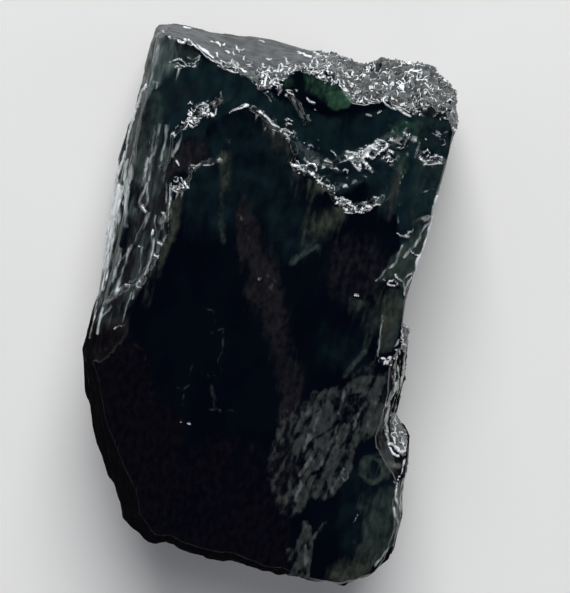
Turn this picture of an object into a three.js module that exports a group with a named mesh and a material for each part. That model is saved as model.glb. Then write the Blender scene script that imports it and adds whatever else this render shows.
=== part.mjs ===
// Raw serpentine: one hand-sized slab of dark green stone, lying on its flat back.
// Millimetres, +Z up. +Y runs along the slab to its broken top end, and +X is to the
// right of somebody who looks down on the front face. The origin is on the surface
// that the stone rests on, under the middle of its box.
//
// The stone is one solid. Its surface is where four things first meet: the front face
// with its ledges and hollows, the flat back, the fractured sides, and the roughness
// of the break. Every vertex of a box grid is sent outwards until it lands there.
import * as THREE from 'three';
import { mergeVertices } from 'three/addons/utils/BufferGeometryUtils.js';

const { clamp, lerp, smoothstep } = THREE.MathUtils;

// ---- driving dimensions ------------------------------------------------------------

const WIDTH = 43.6;
const LENGTH = 65;
const THICKNESS = 20.4;
const RIM_HEIGHT = 19.4; // where the sides would meet the front face
const BACK_SET_IN = 3.2; // how far the sides turn in again towards the back
const EDGE_ROUNDING = 0.5; // how much the front face and the sides blend where they meet
const NARROWEST_WALL = 1.1; // a ledge is never steeper than the grid can show
const GRID = { across: 28, along: 46, up: 14 };
const CROWDING = 0.2; // how much closer the grid's rows stand at the broken top end

// The front is a faint dome round a highest point, with long low ridges on it.
const DOME = { x: -1, y: -4, fallAcross: 0.001, fallAlong: 0.0004 };
const LOW_RIDGES = { height: 0.14, across: 0.19, along: 0.03 };

// Roughness: how high it is, and how many times it changes in a millimetre.
const RAGGED_LIP = { height: 0.3, perMm: 0.9 };
const LONG_SPLINTERS = { height: 0.55, across: 0.5, along: 0.06, up: 0.42 };
const SHORT_SPLINTERS = { height: 0.25, across: 1, along: 0.15, up: 1 };
const GRAINS = { height: 0.35, perMm: 0.6 };
const SIDE_ROUGHNESS = 0.8; // how much of the roughness the sides take on
const BACK_TURN = 2.2; // how roundly the sides turn in towards the back
const RAY = { shortest: 1, longest: 30, halvings: 30 };
const FLAT_BACK = 1e-5; // heights smaller than this lie on the flat back

// The stone's widest reach, corner by corner, anticlockwise from the top left. Each row
// is x, y, how far the front rim is set in from there, the height of the widest
// place, and how bowed the side between them is (1 is flat, 2 and more is rounded).
const OUTLINE = [
  [-20.3, 29.6, 1.0, 5, 1],
  [-20.8, 25.0, 1.3, 5, 1],
  [-21.15, 18.0, 1.4, 5, 1],
  [-21.55, 11.0, 2.0, 5, 1],
  [-21.4, 5.0, 2.1, 5, 1],
  [-21.4, 0.5, 2.0, 5, 1],
  [-20.9, -3.6, 1.3, 7, 1.4],
  [-21.1, -5.8, 1.2, 9, 2],
  [-21.3, -10.4, 1.6, 11, 2.2],
  [-20.1, -13.4, 1.8, 11, 2.2],
  [-19.2, -16.6, 2.0, 11, 2.2],
  [-17.1, -21.1, 2.2, 12, 2.2],
  [-14.6, -25.0, 2.2, 13, 2.2],
  [-12.2, -29.6, 2.2, 13, 2.2],
  [-8.5, -31.6, 2.0, 13, 2.4],
  [-2.5, -32.1, 2.0, 13, 2.4],
  [4.0, -32.4, 2.0, 13, 2.4],
  [8.9, -32.5, 1.6, 13, 2.4],
  [12.2, -32.0, 1.2, 13, 2.2],
  [16.0, -31.8, 1.2, 13, 2.2],
  [19.5, -29.6, 1.3, 12, 2],
  [21.3, -27.2, 1.4, 12, 2],
  [21.5, -22.5, 1.3, 11, 2],
  [20.8, -18.9, 1.3, 11, 2],
  [21.1, -17.0, 1.6, 10, 1.8],
  [20.6, -13.8, 2.9, 9, 1.5],
  [18.1, -11.4, 2.4, 9, 1.5],
  [18.3, -6.1, 2.5, 8, 1.4],
  [17.6, -1.6, 2.5, 8, 1.4],
  [17.4, -0.3, 2.0, 8, 1.4],
  [16.4, 0.4, 1.0, 7, 1.4],
  [16.3, 3.0, 1.1, 6, 1.4],
  [16.5, 7.0, 1.3, 6, 1.4],
  [16.95, 12.0, 1.0, 5, 1.4],
  [17.35, 20.0, 1.0, 5, 1.4],
  [17.8, 26.0, 1.2, 5, 1.4],
  [17.0, 29.2, 2.0, 5, 1.2],
  [15.3, 30.8, 3.4, 7, 1],
  [13.0, 32.1, 5.2, 9, 1],
  [9.6, 31.75, 5.0, 9, 1],
  [7.4, 31.6, 4.6, 8, 1],
  [4.9, 30.2, 3.8, 6, 1],
  [1.5, 30.9, 1.2, 5, 1],
  [-2.5, 30.8, 1.8, 5, 1],
  [-5.5, 31.1, 5.0, 5, 1],
  [-8.5, 30.9, 3.9, 5, 1],
  [-12.5, 30.4, 2.3, 5, 1],
  [-15.5, 30.4, 1.1, 5, 1],
  [-18.6, 30.35, 0.5, 5, 1],
];

// Where flakes came off the front. Each place is an outline, whose corners are x, y and
// the width of the wall there, and a floor whose depth below the face is
// start + alongX * x + alongY * y, from 0 to deepest. A wide wall fades out.
const TERRACES = [
  {
    // under the arched ledge, to the broken end
    floor: { start: 2.0, alongX: 0.2, alongY: 0, deepest: 1.0 },
    outline: [
      [-10.5, 22.4, 1.2], [-9.4, 22.8, 0.5], [-7.7, 23.75, 0.5], [-6.1, 23.2, 0.5],
      [-4.5, 22.2, 0.6], [-3.2, 21.6, 0.6], [-1.8, 20.9, 0.5], [-1.0, 19.4, 0.5],
      [-1.2, 18.2, 0.5], [0.8, 18.3, 0.6], [2.0, 17.3, 0.6], [3.25, 16.5, 0.6],
      [4.1, 16.2, 0.8], [7.0, 18.5, 4], [10.5, 22, 5], [11.3, 25, 5], [12, 28, 5],
      [6, 36, 4], [-5, 36, 4], [-11, 30, 5],
    ],
  },
  {
    // the corner beyond the left ledge
    floor: { start: -2.0, alongX: -0.25, alongY: 0, deepest: 1.3 },
    outline: [
      [-9.6, 25.4, 4.5], [-11.0, 23.2, 0.9], [-11.6, 21.9, 0.9], [-13.9, 20.5, 0.9],
      [-14.6, 19.4, 0.7], [-15.6, 18.2, 0.7], [-15.3, 16.5, 0.8], [-15.8, 14, 1.5],
      [-24, 12, 3], [-24, 36, 3], [-9, 36, 5], [-8.6, 28, 5],
    ],
  },
  {
    // the shelf between the two left ledges
    floor: { start: 0.7, alongX: 0, alongY: 0, deepest: 0.7 },
    outline: [
      [-11.3, 16.0, 0.5], [-12.9, 15.2, 0.5], [-12.7, 14.0, 0.5], [-12.4, 12.9, 0.5],
      [-14.3, 12.3, 0.5], [-14.6, 11, 0.6], [-14.4, 9.1, 0.8], [-24, 9, 3], [-24, 22, 3],
      [-15.5, 22, 3], [-13.7, 22.5, 3], [-10, 22.5, 4], [-9.2, 19.5, 4], [-9.8, 17.4, 3],
    ],
  },
  {
    // the slope of the splintered left side
    floor: { start: -6.2, alongX: -0.45, alongY: 0, deepest: 3.2 },
    outline: [
      [-14.2, 19, 4], [-15.0, 16.5, 1.2], [-15.2, 13.5, 0.8], [-14.6, 12.1, 0.6],
      [-14.4, 9.1, 0.7], [-14.0, 7.2, 0.7], [-14.2, 5.1, 0.7], [-15.0, 2.2, 0.7],
      [-15.7, 0.6, 0.7], [-17.1, -0.2, 0.7], [-18.8, -2.2, 0.8], [-20.1, -3.5, 0.8],
      [-24, -4, 2], [-24, 30, 4], [-14.5, 30, 4], [-14.2, 24, 4],
    ],
  },
  {
    // the slanted facets along the right edge
    floor: { start: -3.9, alongX: 0.31, alongY: 0, deepest: 1.5 },
    outline: [
      [12.4, -2.6, 1.2], [11.6, 0, 2.5], [11.4, 6.0, 2.5], [11.8, 9.2, 2.5],
      [12.9, 12.6, 2.5], [15.2, 15, 2.5], [20, 15, 2.5], [20, -2.6, 0.9],
    ],
  },
  {
    // the facet below the splintered side
    floor: { start: -5.4, alongX: -0.34, alongY: 0, deepest: 2.2 },
    outline: [
      [-15.2, 0.8, 2.5], [-15.6, -3, 2.5], [-16.4, -6, 2.5], [-18.6, -8.8, 2.5],
      [-24, -8.8, 2], [-24, 0.8, 2],
    ],
  },
];

// Shell-shaped scoops, deepest under the lip that faces the broken end.
const SCOOPS = [
  {
    // the upper scoop, above the bright lip
    floor: { start: 3.9, alongX: 0, alongY: -0.13, deepest: 1.3 },
    outline: [
      [3.6, 18.9, 0.8], [5.1, 20.2, 1.3], [7.0, 21.2, 1.7], [8.4, 22.2, 1.4],
      [9.3, 23.4, 1.2], [10.5, 25, 4], [9.5, 28, 4], [5, 28, 4], [1, 26, 4],
      [-1.6, 23.6, 4], [-0.6, 20.6, 2.5], [0.9, 19.6, 1.6], [2.2, 18.9, 1.0],
    ],
  },
  {
    // the lower scoop, with its arc-shaped lip
    floor: { start: 3.5, alongX: 0, alongY: -0.15, deepest: 1.25 },
    outline: [
      [4.3, 15.9, 0.8], [4.7, 15.2, 0.6], [5.9, 14.2, 0.6], [7.5, 14.25, 0.6],
      [8.9, 15.3, 0.6], [9.9, 16.4, 1.4], [10.4, 17.7, 3], [9.2, 19.4, 3], [6, 19.6, 3],
      [4, 18.8, 3], [3.4, 17.2, 2],
    ],
  },
  {
    // the small scoop by the right edge
    floor: { start: 3.9, alongX: 0, alongY: -0.145, deepest: 0.7 },
    outline: [
      [12.8, 22.2, 0.6], [14.0, 21.5, 0.6], [15.3, 21.9, 0.6], [17, 22.1, 0.6],
      [17, 26.5, 2], [13, 26, 2],
    ],
  },
  {
    // the chip at the top left corner
    floor: { start: 6.3, alongX: 0, alongY: -0.22, deepest: 0.5 },
    outline: [
      [-17.9, 26.7, 2.5], [-16.4, 26.5, 0.5], [-15.3, 27.0, 0.4], [-14.5, 27.5, 0.5],
      [-14.4, 28.6, 1.5], [-17.6, 28.8, 3],
    ],
  },
];

// Chips off the edges of the back: each is a plane that rises outwards from a line
// at a distance from the middle, in a direction given in degrees from +X.
const BACK_CHIPS = [
  { direction: 62, from: 24, rise: 0.42 },
  { direction: 118, from: 27, rise: 0.5 },
  { direction: 176, from: 15.5, rise: 0.36 },
  { direction: 232, from: 21, rise: 0.4 },
  { direction: 284, from: 26, rise: 0.34 },
  { direction: 340, from: 17, rise: 0.3 },
];

// The middle of the grid's rays: a block well inside the stone.
const CORE = new THREE.Vector3(9, 20, 1.5);
const HALF = new THREE.Vector3(WIDTH / 2, LENGTH / 2, THICKNESS / 2);

// ---- the surface -------------------------------------------------------------------

/** A fixed scatter of numbers from 0 to 1 on the whole-number lattice. */
function scatter(i, j, k) {
  const wave = Math.sin(i * 127.1 + j * 311.7 + k * 74.7) * 43758.5453;
  return wave - Math.floor(wave);
}

/** Smooth noise from -1 to 1: the lattice's numbers, eased from cell to cell. */
function noise(x, y, z) {
  const [i, j, k] = [Math.floor(x), Math.floor(y), Math.floor(z)];
  const [u, v, w] = [x - i, y - j, z - k].map((t) => t * t * (3 - 2 * t));
  const row = (b, c) => lerp(scatter(i, j + b, k + c), scatter(i + 1, j + b, k + c), u);
  const sheet = (c) => lerp(row(0, c), row(1, c), v);
  return 2 * lerp(sheet(0), sheet(1), w) - 1;
}

/** The nearest place on a closed outline, and how far inside it (x, y) is. */
function nearestOn(outline, x, y) {
  let best = { reach: Infinity };
  let inside = false;
  outline.forEach((from, i) => {
    const to = outline[(i + 1) % outline.length];
    const [dx, dy] = [to[0] - from[0], to[1] - from[1]];
    const t = clamp(((x - from[0]) * dx + (y - from[1]) * dy) / (dx * dx + dy * dy), 0, 1);
    const reach = Math.hypot(x - from[0] - t * dx, y - from[1] - t * dy);
    if (reach < best.reach) best = { reach, from, to, t };
    const crosses = from[1] > y !== to[1] > y;
    if (crosses && x < from[0] + (dx * (y - from[1])) / dy) inside = !inside;
  });
  return { ...best, depth: inside ? best.reach : -best.reach };
}

/** How deep a flake's floor lies at (x, y), with its outline roughened by a number. */
function floorDepth({ floor, outline }, x, y, ragged) {
  const { depth, from, to, t } = nearestOn(outline, x, y);
  const wall = Math.max(NARROWEST_WALL, lerp(from[2], to[2], t));
  const into = smoothstep(depth + ragged, -wall / 2, wall / 2);
  return into * clamp(floor.start + floor.alongX * x + floor.alongY * y, 0, floor.deepest);
}

/** The deepest of several flakes at (x, y). */
function deepestOf(flakes, x, y) {
  const ragged = RAGGED_LIP.height * noise(x * RAGGED_LIP.perMm, y * RAGGED_LIP.perMm, 3);
  return Math.max(...flakes.map((flake) => floorDepth(flake, x, y, ragged)));
}

/** The height of the front face: a faint dome with long low ridges, less what broke off. */
function frontHeight(x, y) {
  const fall = DOME.fallAcross * (x - DOME.x) ** 2 + DOME.fallAlong * (y - DOME.y) ** 2;
  const { height, across, along } = LOW_RIDGES;
  const ridges = height * noise(x * across, y * along, 7) - height;
  return THICKNESS - fall + ridges - deepestOf(TERRACES, x, y) - deepestOf(SCOOPS, x, y);
}

/** The height of the back: flat at 0, rising where its edges are chipped. */
function backHeight(x, y) {
  const chips = BACK_CHIPS.map(({ direction, from, rise }) => {
    const angle = THREE.MathUtils.degToRad(direction);
    return rise * (x * Math.cos(angle) + y * Math.sin(angle) - from);
  });
  return Math.max(0, ...chips);
}

/** Roughness of the sides: long splinters beside the slab, grains across its ends. */
function sideRoughness(x, y, z) {
  const atEnd = smoothstep(y, 24, 29);
  const [long, short] = [LONG_SPLINTERS, SHORT_SPLINTERS].map(
    ({ height, across, along, up }) => height * noise(x * across, y * along, z * up),
  );
  const splinters = long + short;
  const { height, perMm } = GRAINS;
  const grains = height * noise(x * perMm, y * perMm, z * perMm);
  const granular = atEnd * smoothstep(x, 0, 5);
  return lerp(splinters, 0.4 * splinters, atEnd) + lerp(0.3, 1.2, granular) * grains;
}

/** How far (x, y, z) lies outside the stone's sides, less than 0 within them. */
function outsideSides(x, y, z) {
  const { depth, from, to, t } = nearestOn(OUTLINE, x, y);
  const [setIn, widest, bow] = [2, 3, 4].map((column) => lerp(from[column], to[column], t));
  const above = Math.max(0, (z - widest) / (RIM_HEIGHT - widest));
  const below = Math.max(0, (widest - z) / widest);
  const turnedIn = setIn * above ** bow + BACK_SET_IN * below ** BACK_TURN;
  const rough = 1 - smoothstep(below, 0.3, 1);
  return turnedIn - depth - rough * SIDE_ROUGHNESS * sideRoughness(x, y, z);
}

/** The larger of two numbers, with the corner between them rounded over a width. */
function roundedMax(a, b, width) {
  const overlap = Math.max(0, width - Math.abs(a - b));
  return Math.max(a, b) + (overlap * overlap) / (4 * width);
}

/** Less than 0 inside the stone, and more than 0 outside it. */
function outside({ x, y, z }) {
  const aroundFront = roundedMax(z - frontHeight(x, y), outsideSides(x, y, z), EDGE_ROUNDING);
  return Math.max(aroundFront, backHeight(x, y) - z);
}

/** The point where a ray from the core through a grid point leaves the stone. */
function onSurface(gridPoint) {
  const start = gridPoint.clone().clamp(CORE.clone().negate(), CORE);
  const ray = gridPoint.clone().sub(start).normalize();
  start.z += HALF.z;
  let [inner, outer] = [RAY.shortest, RAY.longest];
  for (let halving = 0; halving < RAY.halvings; halving += 1) {
    const middle = (inner + outer) / 2;
    if (outside(start.clone().addScaledVector(ray, middle)) < 0) inner = middle;
    else outer = middle;
  }
  return start.addScaledVector(ray, inner);
}

// ---- the stone ---------------------------------------------------------------------

function makeStone() {
  const box = new THREE.BoxGeometry(
    2 * HALF.x, 2 * HALF.y, 2 * HALF.z, GRID.across, GRID.along, GRID.up,
  );
  box.deleteAttribute('normal');
  box.deleteAttribute('uv');
  const geometry = mergeVertices(box);
  const places = geometry.attributes.position;
  for (let i = 0; i < places.count; i += 1) {
    const gridPoint = new THREE.Vector3().fromBufferAttribute(places, i);
    gridPoint.y += CROWDING * HALF.y * (1 - (gridPoint.y / HALF.y) ** 2);
    const place = onSurface(gridPoint);
    places.setXYZ(i, place.x, place.y, Math.abs(place.z) < FLAT_BACK ? 0 : place.z);
  }
  geometry.computeVertexNormals();
  const stone = new THREE.Mesh(
    geometry,
    new THREE.MeshStandardMaterial({ color: 0x17231f, roughness: 0.35, metalness: 0 }),
  );
  stone.name = 'serpentine';
  return stone;
}

const part = new THREE.Group();
part.add(makeStone());

export default part;
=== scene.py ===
# %% [markdown]
# # A rough slab of serpentine
#
# The object is one natural stone: a hand-sized slab of dark green serpentine with a
# glossy flaked face, splintered sides and a granular broken end. It lies on its flat
# back, and the camera looks down on it. The construction model already holds its size
# and main form, and this script gives the stone its fine surface and its finish.

import math

import bpy
import numpy as np
from mathutils import Matrix


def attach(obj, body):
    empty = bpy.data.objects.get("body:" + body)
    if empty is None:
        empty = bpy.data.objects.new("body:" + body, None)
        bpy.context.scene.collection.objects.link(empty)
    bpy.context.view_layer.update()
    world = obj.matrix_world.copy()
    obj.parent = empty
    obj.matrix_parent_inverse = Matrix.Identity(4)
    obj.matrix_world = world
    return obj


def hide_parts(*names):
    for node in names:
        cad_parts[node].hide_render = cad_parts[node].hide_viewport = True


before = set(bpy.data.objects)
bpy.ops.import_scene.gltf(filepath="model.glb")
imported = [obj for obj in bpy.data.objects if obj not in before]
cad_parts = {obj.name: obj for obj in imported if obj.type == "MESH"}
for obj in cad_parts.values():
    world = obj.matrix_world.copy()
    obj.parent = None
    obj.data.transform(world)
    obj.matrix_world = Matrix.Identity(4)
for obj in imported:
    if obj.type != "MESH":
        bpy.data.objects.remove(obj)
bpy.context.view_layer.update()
MM = 0.001

# %% [markdown]
# ## Camera
#
# A camera that looks straight down flattens a slab. This one leans ten degrees
# towards the broken end, so that a strip of that end shows above the front face, and
# it is rolled, so the stone leans as it would in a hand. A long lens from a quarter of
# a metre away keeps the sides almost parallel.

# %% Camera
ROLL = math.radians(12)
LEAN = math.radians(10)
CAMERA_DISTANCE = 270 * MM
CAMERA_LENS = 137
AIM = np.array([1.42, 2.22, 18.0]) * MM


def camera_axes():
    """The camera's right, up and backward directions, from its roll and its lean."""
    right = np.array([math.cos(ROLL), math.sin(ROLL), 0.0])
    up_on_table = np.array([-math.sin(ROLL), math.cos(ROLL), 0.0])
    back = np.array([0, 0, math.cos(LEAN)]) + up_on_table * math.sin(LEAN)
    return right, np.cross(back, right), back


def make_camera():
    """A camera at AIM + backward * distance, turned to its three axes."""
    right, up, back = camera_axes()
    data = bpy.data.cameras.new("camera")
    data.lens = CAMERA_LENS
    camera = bpy.data.objects.new("camera", data)
    turn = np.eye(4)
    turn[:3, 0], turn[:3, 1], turn[:3, 2] = right, up, back
    turn[:3, 3] = AIM + back * CAMERA_DISTANCE
    camera.matrix_world = Matrix(turn.tolist())
    bpy.context.collection.objects.link(camera)
    bpy.context.scene.camera = camera
    return camera


camera = make_camera()
bpy.context.scene.view_settings.view_transform = "Standard"
print("camera at, mm:", [round(v / MM, 1) for v in camera.matrix_world.translation])

# %% [markdown]
# ## Noise
#
# Broken stone is irregular at every scale. Two kinds of noise give that here. Value
# noise takes a fixed random number at each corner of a lattice and eases between
# them, which suits waves, dents and ragged edges. Cell noise measures the distance to
# the nearest of many scattered seeds, which suits grains that sit side by side.

# %% Noise on whole arrays
def scatter(i, j, k):
    """A fixed number from 0 to 1 for a lattice corner: the fraction of a big sine."""
    wave = np.sin(i * 127.1 + j * 311.7 + k * 74.7) * 43758.5453
    return wave - np.floor(wave)


def noise(x, y, z):
    """Value noise, -1 to 1: corner numbers blended by t * t * (3 - 2 * t) on each axis."""
    x, y, z = np.broadcast_arrays(x, y, z)
    i, j, k = np.floor(x), np.floor(y), np.floor(z)
    u, v, w = ((t * t * (3 - 2 * t)) for t in (x - i, y - j, z - k))

    def row(b, c):
        return scatter(i, j + b, k + c) * (1 - u) + scatter(i + 1, j + b, k + c) * u

    low = row(0, 0) * (1 - v) + row(1, 0) * v
    high = row(0, 1) * (1 - v) + row(1, 1) * v
    return 2 * (low * (1 - w) + high * w) - 1


def layered_noise(x, y, z, layers=3):
    """Noise plus half as much at twice the fineness, and so on, scaled back to -1 to 1."""
    total, reach = 0, 0
    for layer in range(layers):
        share = 0.5**layer
        total = total + share * noise(x * 2**layer, y * 2**layer, z * 2**layer + 9 * layer)
        reach += share
    return total / reach


def grains(x, y, z):
    """Cell noise: distance to the nearest seed, and a tilted facet on each cell.

    Each seed has its own three random slopes, and the facet's height is those slopes
    times the way from the seed.
    """
    x, y, z = np.broadcast_arrays(x, y, z)
    i, j, k = np.floor(x), np.floor(y), np.floor(z)
    nearest = np.full(x.shape, 9.0)
    facet = np.zeros(x.shape)
    for step in np.ndindex(3, 3, 3):
        a, b, c = i + step[0] - 1, j + step[1] - 1, k + step[2] - 1
        dx = x - a - scatter(a, b, c)
        dy = y - b - scatter(a + 31, b, c)
        dz = z - c - scatter(a, b + 57, c)
        distance = np.sqrt(dx * dx + dy * dy + dz * dz)
        slopes = [2 * scatter(a, b, c + 83 + n) - 1 for n in range(3)]
        tilted = slopes[0] * dx + slopes[1] * dy + slopes[2] * dz
        closer = distance < nearest
        nearest = np.where(closer, distance, nearest)
        facet = np.where(closer, tilted, facet)
    return nearest, facet


def ease(value, low, high):
    """Smooth step: 0 below low, 1 above high, t * t * (3 - 2 * t) between them."""
    t = np.clip((value - low) / (high - low), 0, 1)
    return t * t * (3 - 2 * t)


print("noise at the origin's neighbour:", round(float(noise(0.3, 0.4, 0.5)), 4))

# %% [markdown]
# ## The stone's outline
#
# Seen from above, the stone has a fixed widest reach. Each corner of this outline also
# says how far the front rim is set in from it, at what height the side is widest and
# how bowed it is. These are the construction model's own values, so the fine surface
# falls on the coarse one.

# %% Outline, in millimetres
WIDTH, LENGTH, THICKNESS = 43.6, 65.0, 20.4
RIM_HEIGHT = 19.4
BACK_SET_IN = 3.2

OUTLINE = [
    # x, y, front rim set in, widest height, bow
    (-20.3, 29.6, 1.0, 5, 1),
    (-20.8, 25.0, 1.3, 5, 1),
    (-21.15, 18.0, 1.4, 5, 1),
    (-21.55, 11.0, 2.0, 5, 1),
    (-21.4, 5.0, 2.1, 5, 1),
    (-21.4, 0.5, 2.0, 5, 1),
    (-20.9, -3.6, 1.3, 7, 1.4),
    (-21.1, -5.8, 1.2, 9, 2),
    (-21.3, -10.4, 1.6, 11, 2.2),
    (-20.1, -13.4, 1.8, 11, 2.2),
    (-19.2, -16.6, 2.0, 11, 2.2),
    (-17.1, -21.1, 2.2, 12, 2.2),
    (-14.6, -25.0, 2.2, 13, 2.2),
    (-12.2, -29.6, 2.2, 13, 2.2),
    (-8.5, -31.6, 2.0, 13, 2.4),
    (-2.5, -32.1, 2.0, 13, 2.4),
    (4.0, -32.4, 2.0, 13, 2.4),
    (8.9, -32.5, 1.6, 13, 2.4),
    (12.2, -32.0, 1.2, 13, 2.2),
    (16.0, -31.8, 1.2, 13, 2.2),
    (19.5, -29.6, 1.3, 12, 2),
    (21.3, -27.2, 1.4, 12, 2),
    (21.5, -22.5, 1.3, 11, 2),
    (20.8, -18.9, 1.3, 11, 2),
    (21.1, -17.0, 1.6, 10, 1.8),
    (20.6, -13.8, 2.9, 9, 1.5),
    (18.1, -11.4, 2.4, 9, 1.5),
    (18.3, -6.1, 2.5, 8, 1.4),
    (17.6, -1.6, 2.5, 8, 1.4),
    (17.4, -0.3, 2.0, 8, 1.4),
    (16.4, 0.4, 1.0, 7, 1.4),
    (16.3, 3.0, 1.1, 6, 1.4),
    (16.5, 7.0, 1.3, 6, 1.4),
    (16.95, 12.0, 1.0, 5, 1.4),
    (17.35, 20.0, 1.0, 5, 1.4),
    (17.8, 26.0, 1.2, 5, 1.4),
    (17.0, 29.2, 2.0, 5, 1.2),
    (15.3, 30.8, 3.4, 7, 1),
    (13.0, 32.1, 5.2, 9, 1),
    (9.6, 31.75, 5.0, 9, 1),
    (7.4, 31.6, 4.6, 8, 1),
    (4.9, 30.2, 3.8, 6, 1),
    (1.5, 30.9, 1.2, 5, 1),
    (-2.5, 30.8, 1.8, 5, 1),
    (-5.5, 31.1, 5.0, 5, 1),
    (-8.5, 30.9, 3.9, 5, 1),
    (-12.5, 30.4, 2.3, 5, 1),
    (-15.5, 30.4, 1.1, 5, 1),
    (-18.6, 30.35, 0.5, 5, 1),
]


def inside_depth(outline, x, y):
    """How far (x, y) is inside a closed outline, and its values at the nearest place.

    Each side gives a distance, the smallest wins, and the sign comes from how many
    sides a line to the right crosses.
    """
    corners = np.array(outline, float)
    reach = np.full(np.shape(x), np.inf)
    values = [np.zeros(np.shape(x)) for _ in range(corners.shape[1] - 2)]
    inside = np.zeros(np.shape(x), bool)
    for start, end in zip(corners, np.roll(corners, -1, axis=0)):
        dx, dy = end[:2] - start[:2]
        t = np.clip(((x - start[0]) * dx + (y - start[1]) * dy) / (dx * dx + dy * dy), 0, 1)
        distance = np.hypot(x - start[0] - t * dx, y - start[1] - t * dy)
        closer = distance < reach
        reach = np.where(closer, distance, reach)
        values = [
            np.where(closer, start[n + 2] + t * (end[n + 2] - start[n + 2]), value)
            for n, value in enumerate(values)
        ]
        if dy:
            crosses = ((start[1] > y) != (end[1] > y)) & (x < start[0] + dx * (y - start[1]) / dy)
            inside ^= crosses
    return np.where(inside, reach, -reach), values


print("outline corners:", len(OUTLINE))

# %% [markdown]
# ## Ledges and scoops
#
# Where flakes came off the glossy face, they left flat terraces with steep walls, and
# shell-shaped scoops. Both are drawn alike: an outline from above, the width of the
# wall at each corner, and a sloping floor. A narrow wall is a ledge that catches the
# light, and a wall several millimetres wide fades out. Noise added to the distance
# makes a ledge ragged, as a real break is.

# %% Terraces and scoops of the front face
TERRACES = {
    # the floor's start, slope along x, slope along y and deepest; then x, y, wall
    "arch": ((2.0, 0.2, 0.0, 1.0), [
        (-10.5, 22.4, 1.2), (-9.4, 22.8, 0.5), (-7.7, 23.75, 0.5), (-6.1, 23.2, 0.5),
        (-4.5, 22.2, 0.6), (-3.2, 21.6, 0.6), (-1.8, 20.9, 0.5), (-1.0, 19.4, 0.5),
        (-1.2, 18.2, 0.5), (0.8, 18.3, 0.6), (2.0, 17.3, 0.6), (3.25, 16.5, 0.6),
        (4.1, 16.2, 0.8), (7.0, 18.5, 4), (10.5, 22, 5), (11.3, 25, 5), (12, 28, 5),
        (6, 36, 4), (-5, 36, 4), (-11, 30, 5),
    ]),
    "corner": ((-2.0, -0.25, 0.0, 1.3), [
        (-9.6, 25.4, 4.5), (-11.0, 23.2, 0.9), (-11.6, 21.9, 0.9), (-13.9, 20.5, 0.9),
        (-14.6, 19.4, 0.7), (-15.6, 18.2, 0.7), (-15.3, 16.5, 0.8), (-15.8, 14, 1.5),
        (-24, 12, 3), (-24, 36, 3), (-9, 36, 5), (-8.6, 28, 5),
    ]),
    "shelf": ((0.7, 0.0, 0.0, 0.7), [
        (-11.3, 16.0, 0.5), (-12.9, 15.2, 0.5), (-12.7, 14.0, 0.5), (-12.4, 12.9, 0.5),
        (-14.3, 12.3, 0.5), (-14.6, 11, 0.6), (-14.4, 9.1, 0.8), (-24, 9, 3),
        (-24, 22, 3), (-15.5, 22, 3), (-13.7, 22.5, 3), (-10, 22.5, 4), (-9.2, 19.5, 4),
        (-9.8, 17.4, 3),
    ]),
    "splinters": ((-6.2, -0.45, 0.0, 3.2), [
        (-14.2, 19, 4), (-15.0, 16.5, 1.2), (-15.2, 13.5, 0.8), (-14.6, 12.1, 0.6),
        (-14.4, 9.1, 0.7), (-14.0, 7.2, 0.7), (-14.2, 5.1, 0.7), (-15.0, 2.2, 0.7),
        (-15.7, 0.6, 0.7), (-17.1, -0.2, 0.7), (-18.8, -2.2, 0.8), (-20.1, -3.5, 0.8),
        (-24, -4, 2), (-24, 30, 4), (-14.5, 30, 4), (-14.2, 24, 4),
    ]),
    "facets": ((-3.9, 0.31, 0.0, 1.5), [
        (12.4, -2.6, 1.2), (11.6, 0, 2.5), (11.4, 6.0, 2.5), (11.8, 9.2, 2.5),
        (12.9, 12.6, 2.5), (15.2, 15, 2.5), (20, 15, 2.5), (20, -2.6, 0.9),
    ]),
    "below splinters": ((-5.4, -0.34, 0.0, 2.2), [
        (-15.2, 0.8, 2.5), (-15.6, -3, 2.5), (-16.4, -6, 2.5), (-18.6, -8.8, 2.5),
        (-24, -8.8, 2), (-24, 0.8, 2),
    ]),
}

SCOOPS = {
    "upper": ((3.9, 0.0, -0.13, 1.3), [
        (3.6, 18.9, 0.8), (5.1, 20.2, 1.3), (7.0, 21.2, 1.7), (8.4, 22.2, 1.4),
        (9.3, 23.4, 1.2), (10.5, 25, 4), (9.5, 28, 4), (5, 28, 4), (1, 26, 4),
        (-1.6, 23.6, 4), (-0.6, 20.6, 2.5), (0.9, 19.6, 1.6), (2.2, 18.9, 1.0),
    ]),
    "lower": ((3.5, 0.0, -0.15, 1.25), [
        (4.3, 15.9, 0.8), (4.7, 15.2, 0.6), (5.9, 14.2, 0.6), (7.5, 14.25, 0.6),
        (8.9, 15.3, 0.6), (9.9, 16.4, 1.4), (10.4, 17.7, 3), (9.2, 19.4, 3), (6, 19.6, 3),
        (4, 18.8, 3), (3.4, 17.2, 2),
    ]),
    "right": ((3.9, 0.0, -0.145, 0.7), [
        (12.8, 22.2, 0.6), (14.0, 21.5, 0.6), (15.3, 21.9, 0.6), (17, 22.1, 0.6),
        (17, 26.5, 2), (13, 26, 2),
    ]),
    "corner bit": ((6.3, 0.0, -0.22, 0.5), [
        (-17.9, 26.7, 2.5), (-16.4, 26.5, 0.5), (-15.3, 27.0, 0.4), (-14.5, 27.5, 0.5),
        (-14.4, 28.6, 1.5), (-17.6, 28.8, 3),
    ]),
}

DOME_TOP = (-1, -4)
DOME_FALL = (0.001, 0.0004)
# Waves: height, then how many to a millimetre along x and y
LOW_RIDGES = (0.14, 0.19, 0.03)
RAGGED_LIP = (0.3, 0.9, 0.9)
FINE_LIP = (0.22, 2.4, 2.4)

BACK_CHIPS = [
    # direction in degrees, distance from the middle, rise
    (62, 24, 0.42), (118, 27, 0.5), (176, 15.5, 0.36),
    (232, 21, 0.4), (284, 26, 0.34), (340, 17, 0.3),
]


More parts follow.
